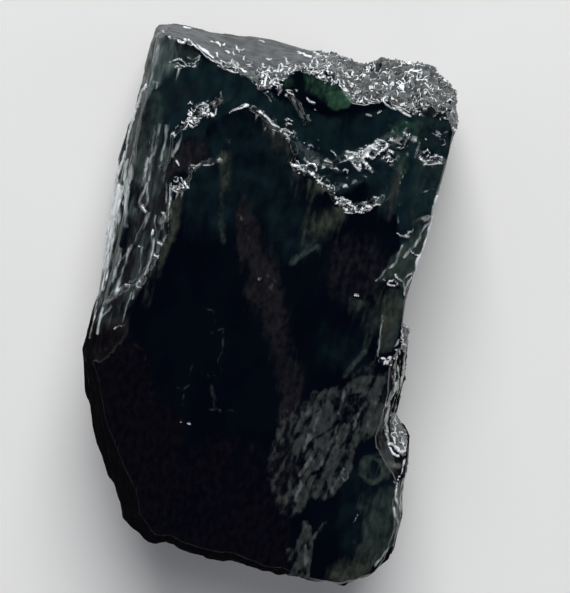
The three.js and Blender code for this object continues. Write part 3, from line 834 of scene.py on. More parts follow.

# %% [markdown]
# ## Strokes
#
# A stroke is a line through a few corners, with its strength and half its width. The
# rims where flakes broke off, the painted glints on crystal points and the painted pale
# reflections along the long splinters are all strokes. A "gap" stroke takes the broad
# kinds away again.

# %% Strokes, in picture points
STROKES = {
    "bright": [
        # painted glints: strength, half width, corners; first the rim of the broken end
        (1.0, 1.2, [(184, 27), (187, 28), (190, 29)]), (1.0, 1.3, [(194, 27), (195, 28)]),
        (0.8, 1.3, [(196, 45), (205, 52), (213, 59)]), (0.7, 1.2, [(218, 66), (228, 70), (238, 73)]),
        (0.9, 1.3, [(211, 42), (213, 43)]), (1.0, 1.5, [(216, 42), (218, 44), (220, 46)]),
        (1.0, 1.2, [(223, 46), (225, 45)]), (1.0, 1.7, [(226, 51), (228, 53)]),
        (1.0, 1.4, [(216, 54), (217, 57)]), (1.0, 1.3, [(163, 32), (164, 33)]),
        (1.0, 1.5, [(169, 36), (171, 38)]), (0.9, 1.2, [(178, 41), (181, 43), (184, 43)]),
        (1.0, 1.2, [(184, 39), (185, 41)]), (1.0, 1.3, [(188, 40), (190, 42)]),
        (0.7, 1.0, [(191, 43), (197, 48), (203, 53), (207, 57)]),
        (0.7, 0.9, [(207, 57), (212, 61), (218, 63), (224, 67), (230, 68)]),
        (0.8, 0.8, [(220, 61), (226, 64), (231, 66)]), (1.0, 1.4, [(231, 62), (233, 63)]),
        (1.0, 1.4, [(233, 65), (236, 68), (240, 69), (246, 73)]), (0.9, 1.0, [(236, 63), (239, 66)]),
        (0.8, 1.0, [(235, 46), (237, 50), (239, 53)]), (0.7, 0.9, [(237, 50), (241, 51), (244, 50)]),
        (0.7, 0.9, [(233, 52), (234, 55)]), (0.9, 1.0, [(245, 57), (244, 60)]),
        (0.7, 1.0, [(251, 62), (252, 66)]), (0.8, 1.0, [(259, 41), (262, 42), (264, 43)]),
        (0.4, 0.9, [(249, 39), (251, 39)]), (0.9, 1.2, [(266, 59), (268, 61), (271, 60)]),
        (0.9, 1.0, [(263, 65), (261, 70)]),
        (0.8, 1.0, [(257, 69), (259, 74), (262, 80), (261, 86), (258, 88)]),
        (1.0, 1.1, [(270, 66), (268, 73), (266, 80), (264, 84), (265, 88)]),
        (0.7, 0.9, [(262, 73), (264, 77)]), (0.9, 1.0, [(270, 84), (274, 80), (277, 79), (280, 85)]),
        (0.5, 1.4, [(280, 86), (281, 90), (279, 95)]),
        (0.9, 1.1, [(271, 68), (274, 72), (278, 72), (280, 67)]),
        (1.0, 1.1, [(282, 65), (284, 71), (286, 75), (289, 70)]),
        (0.9, 1.0, [(286, 61), (288, 66), (290, 72), (293, 72)]),
        (0.8, 1.0, [(283, 57), (287, 60)]), (0.8, 1.0, [(293, 71), (296, 67), (300, 67)]),
        (0.8, 0.9, [(303, 63), (307, 68), (311, 75)]),
        (1.0, 1.3, [(298, 52), (302, 54), (306, 56), (311, 57)]),
        (0.8, 1.2, [(313, 53), (317, 54), (321, 57)]),
        (1.0, 1.1, [(310, 66), (313, 60), (315, 58), (316, 62), (318, 66), (314, 68), (311, 67)]),
        (0.9, 1.0, [(327, 59), (326, 63), (328, 66), (327, 70)]),
        (0.5, 1.0, [(322, 81), (324, 78), (327, 79), (327, 82), (324, 84)]),
        (0.9, 1.2, [(331, 85), (334, 82), (337, 83)]), (1.0, 1.0, [(366, 115), (371, 116)]),
        (0.9, 1.1, [(378, 113), (381, 111)]), (0.8, 0.9, [(433, 117), (437, 114)]),
        (0.8, 0.8, [(439, 120), (441, 118)]), (0.7, 0.8, [(443, 119), (449, 119)]),
        (0.8, 1.0, [(416, 109), (419, 112), (421, 116)]),
        (0.9, 1.1, [(382, 100), (386, 104), (391, 107), (396, 110)]),
        (0.9, 1.0, [(396, 108), (401, 111), (406, 115), (411, 117)]),
        # the drops and bits under it
        (0.5, 1.3, [(262, 93), (267, 95), (270, 98), (272, 101)]), (0.9, 1.4, [(286, 94), (287, 95)]),
        (0.6, 1.3, [(291, 94), (293, 95)]), (0.6, 1.2, [(296, 90), (297, 91)]),
        (0.9, 1.3, [(307, 98), (310, 101), (315, 103)]), (0.6, 1.2, [(315, 109), (316, 110)]),
        (0.9, 1.0, [(286, 121), (289, 119), (292, 121)]), (0.8, 1.0, [(286, 126), (289, 124), (291, 125)]),
        (0.7, 1.5, [(309, 146), (312, 145), (313, 147)]), (0.4, 1.2, [(318, 140), (320, 141)]),
        (0.4, 1.2, [(318, 148), (320, 149)]), (0.9, 1.0, [(331, 151), (334, 153), (336, 157)]),
        # the lip of the arch
        (0.8, 0.9, [(229, 113), (235, 110), (240, 109), (245, 107)]), (1.0, 1.8, [(246, 106), (248, 105)]),
        (0.6, 1.0, [(251, 108), (254, 106), (257, 108)]), (1.0, 1.6, [(260, 112), (262, 114)]),
        (1.0, 1.4, [(264, 116), (267, 119), (270, 122)]), (0.9, 1.2, [(271, 124), (275, 126), (279, 128)]),
        (0.9, 1.3, [(280, 131), (286, 131), (292, 133)]), (0.9, 1.4, [(283, 134), (287, 138), (290, 140)]),
        (0.9, 1.5, [(291, 165), (296, 166), (300, 169), (304, 171)]), (0.8, 1.0, [(297, 162), (300, 165)]),
        (0.9, 1.0, [(306, 166), (309, 164), (314, 165), (317, 168), (316, 171)]),
        (0.8, 1.4, [(308, 172), (312, 175), (315, 178)]),
        (0.9, 1.4, [(319, 181), (323, 184), (327, 187), (331, 188)]),
        (0.4, 1.0, [(332, 189), (333, 195)]), (1.0, 1.2, [(335, 198), (340, 198), (346, 201)]),
        (0.9, 1.1, [(337, 202), (341, 205), (344, 206)]), (1.0, 1.2, [(343, 209), (347, 211)]),
        (1.0, 1.2, [(346, 203), (350, 205), (353, 207)]),
        (1.0, 1.1, [(352, 210), (353, 206), (356, 208), (355, 211)]),
        (0.9, 1.1, [(358, 212), (362, 213)]), (1.0, 1.2, [(363, 209), (367, 207), (372, 208)]),
        (0.7, 0.9, [(373, 203), (376, 201), (379, 198)]),
        # the flame in the scoop
        (1.0, 1.5, [
            (347, 160), (356, 156), (363, 152), (369, 147), (376, 143), (381, 140), (386, 142),
            (387, 146), (384, 149),
        ]),
        (1.0, 1.1, [(367, 156), (373, 159), (379, 153), (383, 149)]),
        (0.8, 0.8, [(369, 149), (373, 150), (377, 149)]),
        (1.0, 1.5, [(352, 162), (356, 167), (359, 170), (360, 165)]),
        (1.0, 1.3, [(363, 162), (368, 166), (372, 172)]),
        (0.9, 1.2, [(364, 161), (366, 168)]), (1.0, 1.2, [(345, 156), (346, 157)]),
        (1.0, 1.1, [(333, 169), (336, 168), (338, 170)]),
        (1.0, 1.1, [(342, 171), (345, 169), (348, 171), (347, 173)]),
        (0.9, 1.3, [(386, 158), (390, 157)]), (0.7, 0.9, [(391, 151), (393, 154)]),
        (0.7, 0.8, [(389, 141), (391, 138)]),
        (0.8, 1.0, [(404, 132), (407, 134), (408, 139)]), (0.8, 0.9, [(400, 149), (404, 147)]),
        (1.0, 1.2, [(424, 152), (428, 150), (430, 153), (427, 156)]),
        (0.9, 1.5, [(421, 158), (423, 162), (426, 163)]),
        (0.9, 1.2, [(430, 157), (436, 156), (443, 157)]), (0.7, 1.3, [(426, 139), (427, 140)]),
        (0.5, 1.0, [(440, 139), (444, 139), (445, 143), (442, 145)]),
        # the left lips
        (1.0, 1.4, [(196, 107), (200, 105), (205, 104), (208, 106)]),
        (1.0, 1.2, [(208, 106), (209, 110), (207, 114), (204, 115)]),
        (0.9, 1.0, [(202, 109), (205, 112)]), (1.0, 1.3, [(211, 113), (212, 116), (215, 114), (217, 109)]),
        (0.6, 1.0, [(212, 104), (215, 100), (217, 98)]), (0.7, 0.9, [(188, 104), (190, 102), (192, 104)]),
        (1.0, 1.3, [(188, 114), (191, 117), (193, 118)]), (0.9, 1.1, [(182, 122), (185, 124), (187, 123)]),
        (0.6, 1.4, [(188, 121), (192, 120), (197, 123), (200, 121)]),
        (0.8, 1.3, [(190, 127), (193, 128), (197, 125)]),
        (1.0, 1.2, [(172, 134), (174, 133), (175, 137)]), (0.7, 1.0, [(176, 129), (178, 126)]),
        (1.0, 0.9, [(176, 160), (178, 163), (179, 166)]),
        (0.6, 1.0, [(202, 164), (198, 166), (194, 168), (190, 168), (187, 172)]),
        (1.0, 1.3, [(181, 178), (183, 182), (186, 186), (188, 189)]), (1.0, 1.5, [(173, 189), (176, 187)]),
        (1.0, 1.0, [(179, 188), (181, 186)]),
        (1.0, 1.3, [(175, 60), (178, 59), (182, 60), (185, 63), (186, 66)]),
        (1.0, 1.4, [(178, 63), (181, 66), (184, 67)]),
        # the left side
        (1.0, 1.5, [(148, 85), (143, 92), (141, 97), (139, 105), (137, 112), (134, 122)]),
        (1.0, 1.6, [(134, 122), (131, 130), (129, 140), (128, 150), (126, 158)]),
        (0.9, 2.0, [(126, 152), (122, 163), (118, 175), (115, 188)]),
        (0.9, 3.0, [(121, 186), (118, 205), (115, 225), (112, 245), (109, 262), (106, 280)]),
        (1.0, 3.6, [
            (117, 180), (115, 200), (112, 215), (110, 230), (107, 245), (106, 258), (105, 272),
            (103, 290),
        ]),
        (0.8, 1.6, [(121, 200), (118, 215), (115, 232), (113, 248), (110, 262)]),
        (1.0, 1.2, [(143, 206), (145, 210), (147, 213)]), (1.0, 1.4, [(153, 230), (153, 235)]),
        (1.0, 1.5, [(158, 242), (162, 245)]), (1.0, 1.3, [(155, 254), (158, 256), (158, 258)]),
        (1.0, 1.2, [(139, 246), (141, 246)]), (1.0, 1.0, [(134, 298), (138, 298)]),
        (0.9, 1.3, [(125, 285), (129, 285)]),
        (0.9, 0.9, [(180, 422), (185, 424), (190, 424)]),
        # the right side
        (1.0, 1.1, [(397, 233), (401, 236), (405, 236), (408, 237)]),
        (1.0, 1.1, [(405, 236), (409, 232), (412, 231)]),
        (0.9, 0.8, [(408, 250), (414, 254), (421, 256)]),
        (0.9, 1.4, [
            (437, 196), (433, 206), (430, 220), (427, 232), (423, 245), (419, 255), (415, 266),
            (414, 275),
        ]),
        (1.0, 1.0, [(387, 284), (389, 281), (393, 280), (397, 282), (397, 285), (392, 286), (388, 285)]),
        (1.0, 1.1, [(395, 274), (396, 277), (399, 280), (402, 281)]), (0.7, 1.0, [(382, 280), (386, 281)]),
        (0.7, 1.4, [(399, 279), (403, 283), (404, 290), (404, 295)]),
        (0.7, 1.3, [(404, 290), (407, 283), (411, 277)]),
        (0.7, 1.0, [(403, 280), (408, 275), (412, 272)]), (1.0, 1.2, [(355, 295), (358, 295), (360, 297)]),
        (0.9, 0.8, [(258, 280), (262, 279)]), (0.4, 0.9, [(283, 235), (288, 236)]),
        (1.0, 1.3, [(381, 358), (385, 360), (389, 361)]), (0.9, 1.3, [(386, 364), (390, 365)]),
        (0.7, 1.0, [(392, 358), (395, 359), (397, 356)]),
        (0.9, 1.2, [(401, 330), (404, 326), (408, 328), (409, 333)]),
        (1.0, 1.3, [(401, 331), (402, 336), (403, 341)]), (1.0, 1.4, [(402, 342), (405, 345)]),
        (0.7, 1.0, [(395, 350), (398, 349), (400, 353), (398, 356)]),
        (0.9, 1.8, [(387, 445), (390, 443), (394, 447), (398, 452), (402, 452), (405, 449)]),
        (1.0, 1.5, [(390, 448), (393, 454), (399, 457)]), (0.5, 1.3, [(358, 514), (356, 518), (354, 522)]),
        (0.7, 1.0, [(404, 459), (402, 468), (399, 477), (396, 486), (395, 495), (396, 503)]),
    ],
    "pale": [
        # painted pale reflections: streaks on the left side, bands and rim lines on the right
        (1.0, 6.5, [(120, 188), (117, 205), (115, 220), (112, 235), (110, 250), (108, 265)]),
        (0.6, 1.8, [(138, 97), (134, 110), (131, 122), (128, 135), (126, 143)]),
        (0.8, 3.2, [(127, 172), (126, 186), (125, 195), (126, 205), (127, 215), (127, 226)]),
        (0.7, 1.3, [(122, 186), (122, 195), (123, 205)]), (0.9, 1.6, [(129, 186), (128, 196), (127, 208)]),
        (0.5, 2.4, [(149, 158), (147, 165), (145, 175), (143, 185)]),
        (0.4, 2.2, [(152, 160), (151, 170), (149, 180)]),
        (0.6, 2.2, [(147, 183), (145, 190), (142, 196), (140, 202), (142, 207), (145, 212)]),
        (0.5, 1.8, [(147, 186), (148, 195), (148, 202), (146, 208)]),
        (0.4, 2.6, [(160, 125), (158, 135), (157, 145), (153, 155), (151, 162)]),
        (0.35, 2.6, [(167, 126), (166, 135), (164, 145), (162, 152), (161, 160)]),
        (0.3, 2.2, [(155, 127), (154, 140), (152, 150)]), (0.3, 1.3, [(170, 124), (168, 132)]),
        (0.45, 3.0, [(149, 214), (144, 227), (137, 240), (127, 254), (120, 260)]),
        (0.8, 1.2, [(169, 180), (171, 189), (170, 206), (169, 221), (169, 233), (164, 241)]),
        (0.7, 1.6, [(167, 180), (166, 190), (166, 203)]), (0.5, 1.2, [(156, 215), (155, 222), (157, 232)]),
        (0.5, 2.2, [(153, 236), (154, 249), (151, 260), (147, 271), (141, 279), (137, 284), (133, 299)]),
        (0.5, 1.5, [(143, 247), (141, 263), (140, 274)]),
        (0.7, 2.2, [(121, 249), (119, 260), (114, 277), (109, 291)]),
        (0.6, 2.2, [(129, 249), (126, 266), (121, 277), (116, 294)]),
        (0.4, 2.2, [(109, 294), (121, 289), (129, 286)]),
        (0.4, 3.0, [(182, 130), (182, 136), (180, 142), (177, 148), (173, 152), (172, 156)]),
        (0.7, 1.5, [(90, 338), (93, 325), (96, 310), (98, 298)]),
        (0.7, 1.5, [(97, 334), (99, 327), (101, 318), (104, 308)]),
        (0.7, 1.6, [(101, 318), (108, 312), (113, 306)]), (0.6, 1.2, [(114, 329), (119, 326), (124, 326)]),
        (0.5, 1.6, [(123, 322), (126, 310), (129, 300), (132, 292)]),
        (0.6, 2.0, [(291, 97), (296, 104), (300, 111), (304, 118)]),
        (0.25, 3.0, [(158, 45), (156, 60), (153, 75), (148, 85)]),
        (0.2, 2.5, [(163, 50), (160, 62), (158, 72)]),
        (0.4, 1.2, [(152, 86), (155, 82), (159, 83), (157, 88), (153, 89)]),
        (0.4, 1.3, [(169, 62), (174, 61)]),
        (0.45, 1.5, [(188, 58), (193, 60), (197, 58), (200, 56), (199, 60), (195, 64), (189, 64)]),
        (0.5, 2.2, [(430, 222), (424, 227), (420, 233), (419, 240), (414, 246), (408, 252), (404, 257)]),
        (0.5, 2.0, [(401, 246), (398, 254), (396, 262), (391, 267), (385, 271), (380, 277), (376, 281)]),
        (0.35, 1.3, [(416, 197), (420, 193), (427, 191), (434, 190)]),
        (0.5, 0.9, [(398, 192), (400, 186), (402, 180), (405, 172)]), (0.35, 0.8, [(404, 190), (405, 184)]),
        (0.2, 1.8, [(396, 198), (398, 212), (397, 222)]),
        (0.4, 1.2, [(384, 318), (381, 328), (379, 338), (378, 348), (376, 358), (374, 363)]),
        (0.4, 1.5, [(391, 352), (394, 347), (397, 344), (399, 340)]),
        (0.8, 1.5, [(403, 346), (404, 356), (404, 366), (403, 376), (400, 386)]),
        (0.7, 1.6, [(393, 364), (395, 375), (393, 386), (392, 394)]),
        (0.7, 1.3, [(398, 366), (398, 378), (396, 390)]),
        (0.8, 2.8, [(396, 384), (392, 393), (388, 402), (387, 412), (386, 424), (387, 434), (388, 442)]),
        (0.7, 1.3, [(404, 478), (401, 488), (400, 498), (401, 508)]),
        (0.7, 1.3, [(396, 490), (397, 500), (400, 510), (401, 518)]),
        (0.6, 1.6, [(394, 508), (396, 520), (400, 527), (398, 537)]),
        (0.5, 2.0, [(395, 540), (390, 546), (385, 553), (380, 560), (375, 566)]),
        (0.3, 1.5, [(344, 466), (340, 474), (344, 480), (348, 477), (348, 471)]),
    ],
    "satin": [
        (0.8, 4.6, [
            (361, 463), (366, 458), (373, 457), (381, 462), (384, 470), (381, 478), (374, 483),
            (366, 480), (361, 472), (361, 463),
        ]),
        (0.8, 5.0, [(384, 466), (391, 464), (398, 466)]),
        (0.9, 4.0, [(375, 516), (380, 510), (388, 508), (394, 511)]),
        (0.9, 3.5, [(373, 525), (374, 518), (378, 512)]),
        (0.8, 5.0, [(366, 535), (372, 533), (378, 538), (383, 543)]),
        (0.7, 5.0, [(383, 520), (390, 522)]), (0.7, 5.0, [(368, 549), (376, 546), (384, 550)]),
        (0.5, 4.0, [(221, 192), (221, 206), (221, 225), (223, 243)]),
        (0.9, 4.0, [(291, 263), (299, 257), (308, 251), (317, 247)]),
        (0.9, 4.0, [(366, 350), (361, 355), (356, 361), (350, 369), (345, 376)]),
        (0.7, 3.5, [(363, 308), (365, 315), (362, 322)]),
    ],
    "film": [
        (0.5, 1.2, [(208, 310), (216, 310)]), (0.35, 1.2, [(213, 310), (214, 318), (214, 326)]),
        (0.7, 1.2, [(211, 333), (216, 331), (223, 329)]),
        (0.5, 2.2, [(223, 331), (223, 345), (221, 360), (221, 372)]),
        (0.9, 1.0, [(206, 376), (215, 375)]), (0.3, 3.5, [(209, 380), (212, 390), (215, 400), (215, 408)]),
        (0.6, 1.4, [(209, 410), (217, 409), (225, 411), (233, 410)]),
        (0.5, 1.6, [(176, 388), (183, 390), (190, 385)]),
        (0.5, 1.2, [(181, 384), (183, 395), (182, 405)]), (0.25, 1.6, [(190, 352), (192, 365), (188, 378)]),
        (0.9, 2.0, [(326, 522), (321, 528), (316, 535), (312, 540)]), (0.8, 1.0, [(188, 423), (190, 425)]),
        (0.15, 6.0, [(100, 350), (118, 342), (135, 346), (146, 362), (154, 390)]),
        (0.12, 6.0, [(150, 472), (165, 462), (185, 450), (205, 443), (230, 440), (250, 445), (265, 455)]),
    ],
    "chalk": [
        (0.5, 3.0, [(318, 470), (326, 455), (333, 440), (338, 425)]),
        (0.45, 3.0, [(330, 492), (338, 480), (344, 470)]),
        (0.45, 2.5, [(310, 440), (316, 425), (320, 408), (326, 397)]),
        (0.4, 2.5, [(366, 426), (372, 412), (378, 398), (384, 388)]),
        (0.9, 2.6, [(303, 451), (306, 443), (309, 434)]), (0.9, 3.2, [(300, 474), (305, 467), (311, 459)]),
        (0.8, 3.2, [(296, 501), (299, 492), (301, 482)]), (0.7, 2.2, [(353, 429), (356, 419), (361, 409)]),
        (0.5, 5.0, [(332, 452), (337, 440), (345, 425)]),
        (0.8, 1.4, [(339, 478), (344, 481), (349, 477), (348, 470), (343, 469)]),
        (0.6, 2.5, [(344, 392), (342, 404), (338, 414)]), (0.5, 2.2, [(296, 427), (301, 421), (308, 412)]),
        (0.5, 3.0, [(306, 545), (306, 560), (303, 574)]), (0.5, 2.0, [(304, 522), (307, 532)]),
        (0.3, 3.0, [(240, 215), (245, 225), (247, 240)]), (0.25, 3.0, [(268, 276), (274, 281), (270, 290)]),
    ],
    "gap": [
        (0.7, 3.5, [(138, 184), (137, 195), (136, 206)]),
        (0.9, 2.6, [(349, 397), (355, 395), (361, 394)]), (0.9, 3.6, [(354, 406), (357, 409)]),
        (0.8, 2.8, [(318, 438), (325, 433), (332, 428), (339, 421)]),
        (0.9, 3.4, [(312, 474), (317, 472), (322, 471)]),
        (0.9, 2.4, [(335, 472), (339, 469)]), (0.8, 1.2, [(326, 482), (325, 486), (323, 489)]),
        (0.6, 1.2, [(343, 444), (346, 448)]), (0.6, 1.4, [(320, 448), (322, 454)]),
        (0.6, 1.8, [(310, 418), (318, 410)]),
        (0.6, 1.6, [(330, 398), (333, 404)]), (0.7, 1.6, [(305, 485), (309, 476)]),
        (0.5, 1.5, [(326, 462), (329, 456)]),
        (0.9, 9.0, [(122, 377), (136, 382)]), (0.7, 3.0, [(388, 426), (389, 436)]),
        (0.8, 1.2, [(405, 489), (405, 493)]),
        (0.7, 1.2, [(399, 505), (400, 512)]), (0.8, 1.5, [(399, 290), (402, 297)]),
        (0.8, 1.4, [(395, 288), (388, 288), (384, 285)]),
    ],
}

print("strokes:", {kind: len(rows) for kind, rows in STROKES.items()})


# %% [markdown]
# ## Painting
#
# Every vertex now asks which patches and strokes it is seen through. Asking for all
# vertices and all marks at once would be slow, so each mark first picks the vertices in
# its own bounding box. Where marks of one kind overlap, the strongest counts. Noise
# shakes the picture points a little beforehand, so that outlines don't look drawn.

# %% Paint the marks
def near_box(corners, margin, across, down):
    """The numbers of the vertices in the corners' bounding box, made larger by a margin."""
    low, high = np.min(corners, axis=0) - margin, np.max(corners, axis=0) + margin
    inside = (across > low[0]) & (across < high[0]) & (down > low[1]) & (down < high[1])
    return np.flatnonzero(inside)


def paint(kind, across, down):
    """The strongest of one kind's patches and strokes at every vertex."""
    amount = np.zeros(len(across))
    for strength, softness, outline in PATCHES.get(kind, []):
        near = near_box(outline, softness, across, down)
        depth = inside_depth(outline, across[near], down[near])[0]
        amount[near] = np.maximum(amount[near], strength * ease(depth, -softness / 2, softness / 2))
    for strength, half_width, corners in STROKES.get(kind, []):
        near = near_box(corners, half_width, across, down)
        mark = strength * stroke(corners, half_width, across[near], down[near])
        amount[near] = np.maximum(amount[near], mark)
    return amount


def share(value):
    """The mean over all vertices, as a short number to print."""
    return round(float(value.mean()), 3)


def shake(x, y, z, seed):
    """A push of a point or two, slow plus fast, so that no mark has a drawn edge."""
    slow = layered_noise(x * 0.8, y * 0.8, z * 0.8 + seed)
    fast = noise(x * 3, y * 3, z * 3 + seed)
    return 1.3 * slow + 0.5 * fast


normals = vertex_normals(points, quads)
x, y, z = points.T
nx, ny, nz = normals.T
across, down, toward = in_picture(points)
facing = np.sum(normals * toward, axis=1)
across = across + shake(x, y, z, 0)
down = down + shake(x, y, z, 40)
seen = ease(facing, 0.0, 0.08)
kinds = {kind: paint(kind, across, down) * seen for kind in {**PATCHES, **STROKES}}
print({kind: share(value) for kind, value in kinds.items()})

# %% [markdown]
# ## Breaking up the marks
#
# A drawn patch is even all over. On the stone the dull film and the pale haze lie in
# slanted streaks, as if they were brushed on. Noise that is stretched along a slanted
# line gives such streaks, and the film and the haze thin out between them. The gaps that
# were drawn with the marks are cut out of every broad kind.

# %% Gaps and slanted streaks
PICTURE_UNIT = 8
FILM_SLANT = (0.91, 0.41)
HAZE_SLANT = (0.96, 0.27)
WHOLE_HAZE_DOWN_TO = (110, 160)
BROAD_KINDS = ("film", "chalk", "haze", "crystal", "olive", "brown", "dusk")


def slanted(slant, per_unit_across, per_unit_along):
    """Two coordinates for noise, one across a slanted line and one along it."""
    sideways = (slant[0] * across + slant[1] * down) / PICTURE_UNIT
    lengthways = (slant[0] * down - slant[1] * across) / PICTURE_UNIT
    return sideways * per_unit_across, lengthways * per_unit_along


for kind in BROAD_KINDS:
    kinds[kind] = kinds[kind] * (1 - kinds["gap"])
del kinds["gap"]
brushed = layered_noise(*slanted(FILM_SLANT, 1.5, 0.28), 3)
brushed += 0.25 * noise(*slanted(FILM_SLANT, 3, 1.2), 9)
kinds["film"] *= 0.25 + 0.75 * ease(brushed, -0.30, 0.15)
strands = layered_noise(*slanted(HAZE_SLANT, 1.3, 0.24), 21)
between = ease(down, *WHOLE_HAZE_DOWN_TO) * (1 - ease(strands, -0.30, 0.25))
kinds["haze"] *= 1 - 0.65 * between
print("film left:", share(kinds["film"]), "haze left:", share(kinds["haze"]))

# %% [markdown]
# ## The sides and the broken end
#
# Few marks reach the sides, so their kinds come from where a vertex lies and which way
# it faces. Each test eases from 0 to 1 instead of switching, and tests are multiplied
# where all of them must hold. The broken end is satin grey at its left and granular
# towards its right corner, and the notch on the right holds a granular ledge. Where the
# camera does see a side, its marks are already drawn, so the ledge and flecks hold back.

# %% The broken end and the right ledge
# Places are in millimetres, and normals and "facing" run from -1 to 1
below_front = read_chart(front_chart, x, y) - z
on_side = ease(below_front, 0.05, 0.4) * ease(z, 0.3, 2.0)
unseen = 1 - 0.85 * ease(facing, 0.03, 0.15)
toward_end = ny - np.abs(nx) + 0.8 * ease(x, 8, 14)
top_end = on_side * ease(toward_end, -0.1, 0.2) * ease(y, 22, 25) * (1 - ease(nz, 0.8, 0.9))
from_left = x + 1.6 * noise(y * 0.5, z * 0.5, 1)
granular_end = top_end * ease(from_left, -2.0, 1.0)
flecks = top_end * ease(layered_noise(x * 0.9, y * 1.4, z * 1.4), 0.34, 0.5) * unseen
in_notch = (1 - ease(y, -0.5, 1.5)) * ease(y, -15, -11)
right_ledge = on_side * ease(nx, 0.2, 0.5) * in_notch * ease(z, 8, 11) * unseen
loose_grains = np.maximum.reduce([granular_end, 0.8 * flecks, 0.8 * right_ledge])
kinds["crystal"] = np.maximum(kinds["crystal"], loose_grains)
kinds["end"] = top_end * (1 - granular_end)
print("broken end:", share(top_end), "of it granular:", share(granular_end))

# %% [markdown]
# ## Splinters on the left side
#
# The left side is split along the slab into long splinters that lean a little. One minus
# the size of the noise has a sharp crest wherever the noise crosses zero, and stretching
# the noise along the slab draws each crest out. Two widths are added up. Mostly where the
# camera doesn't see the side, the crests are painted lighter, a painted reflection along
# each splinter. The painted glints and pale reflections near the rim would smear down
# this steep side, so they are kept on the crests and dropped between them.

# %% Splinters
across_splinters = 0.75 * x + 0.4 * z - 0.09 * y + 0.5 * noise(x * 0.3, y * 0.2, z * 0.3)
broad_crests = 1 - 2.6 * np.abs(noise(across_splinters * 0.8, y * 0.045, 3))
narrow_crests = 1 - 2.6 * np.abs(noise(across_splinters * 2.4, y * 0.09, 8))
splinter_height = 0.5 * broad_crests + 0.5 * narrow_crests
lower_end = y + 5 * noise(y * 0.1, z * 0.35, 6)
splintered = on_side * ease(-nx, 0.1, 0.4) * ease(lower_end, -8, 3) * ease(z, 1, 5) * (1 - top_end)
kinds["splinter"] = splintered * unseen * ease(splinter_height, 0.15, 0.75)
kinds["haze"] = np.maximum(kinds["haze"], 0.35 * splintered)
steep = on_side * (1 - ease(facing, 0.08, 0.28))
between_crests = steep * (1 - ease(splinter_height, -0.20, 0.15))
for kind in ("bright", "pale"):
    kinds[kind] *= 1 - 0.85 * between_crests
print("splintered:", share(splintered))

# %% [markdown]
# ## Painted shade and underside
#
# The lower left, its rim and the sides that the camera sees, apart from the broken end,
# are painted in shade, a dull dark colour. A rough surface that also shines turns pale
# grey when it is seen at a glancing angle, so the painted shade has no shine at all and
# takes the place of the glossy dusk wherever the surface tilts away. The underside has
# broad, faint patches of film and haze, so that it isn't blank when the stone is picked up.

# %% Painted shade and underside
lower_left = (1 - ease(x, 8, 16)) * (1 - ease(y, -7, -2))
beside_end = on_side * (1 - top_end)
tilted = np.maximum(beside_end, 1 - ease(nz, 0.955, 0.99))
lower_left_rind = lower_left * tilted * (0.6 + 0.4 * ease(facing, -0.1, 0.05))
kinds["rind"] = np.maximum(beside_end * ease(facing, 0.03, 0.15), lower_left_rind)
kinds["dusk"] *= 0.55 + 0.45 * ease(layered_noise(x * 0.35, y * 0.16, 5), -0.4, 0.1)
kinds["dusk"] *= 1 - kinds["rind"]
underneath = ease(-nz, 0.5, 0.8)
under_film = underneath * ease(layered_noise(x * 0.12, y * 0.06, 3), -0.1, 0.3)
under_haze = underneath * ease(layered_noise(x * 0.2, y * 0.1, 9), 0.0, 0.4)
kinds["film"] = np.maximum(kinds["film"], 0.7 * under_film)
kinds["haze"] = np.maximum(kinds["haze"], 0.5 * under_haze)
print({kind: share(value) for kind, value in kinds.items()})

# %% [markdown]
# ## Fine relief
#
# The broken places are not only lighter, they are rough. Cell noise with a tilted facet
# on every cell gives the look of broken crystals, because each facet leans its own
# way and neighbours meet in a sharp step. The relief is pushed out along the surface
# normal, in two sizes of grain, and every drawn mark is raised a little.

# %% Push the grains out
LARGE_GRAINS, SMALL_GRAINS = 0.40, 0.34
RAISED_MARKS = {"bright": 0.22, "pale": 0.16, "chalk": 0.06}

_, large_facet = grains(x * 0.7, y * 0.7, z * 0.7)
_, small_facet = grains(x * 1.5 + 5, y * 1.5, z * 1.5)
crystal = kinds["crystal"]
large_where = np.maximum(granular_end, 0.6 * right_ledge)
relief = large_where * LARGE_GRAINS * large_facet + crystal * SMALL_GRAINS * small_facet
relief += crystal * (0.20 * noise(x * 1.5, y * 1.5, z * 1.5) + 0.04 * noise(x * 3.6, y * 3.6, z * 3.6))
kinds["peak"] = 0.5 + 0.9 * relief
relief += sum(height * kinds[kind] for kind, height in RAISED_MARKS.items())
print("grains, mm:", round(float(relief.min()), 2), "to", round(float(relief.max()), 2))

# %% [markdown]
# ## Grain of the sides
#
# The sides have no drawn marks to raise. Their relief is noise that is stretched along
# the slab, plus the splinters' own crests. The film and the satin end are faintly rough
# as well. Last, the underside is lifted a little in places, so that the stone rests on
# high spots as a real one does, and nothing sinks below the floor.

# %% Push the splinters out
only_sides = (1 - ease(np.abs(nz), 0.8, 0.95)) * (1 - top_end) * (1 - crystal)
long_grain = layered_noise(x * 1.1, y * 0.10, z * 0.9)
short_grain = layered_noise(x * 3, y * 0.6, z * 3)
relief += only_sides * (0.10 * long_grain + 0.05 * short_grain)
relief += splintered * 0.5 * unseen * (splinter_height - 0.3)
relief += kinds["film"] * 0.05 * layered_noise(x * 2.4, y * 0.8, 12)
relief += kinds["end"] * (0.10 * noise(x * 0.5, y * 2.2, z * 2.2) + 0.05 * noise(x * 1.6, y * 4, z * 4))
points = points + normals * relief[:, None]
points[:, 2] = np.maximum(points[:, 2], 0)
points[:, 2] += 0.5 * underneath * np.maximum(0, layered_noise(x * 0.16, y * 0.1, 4))
print("relief, mm:", round(float(relief.min()), 2), "to", round(float(relief.max()), 2))

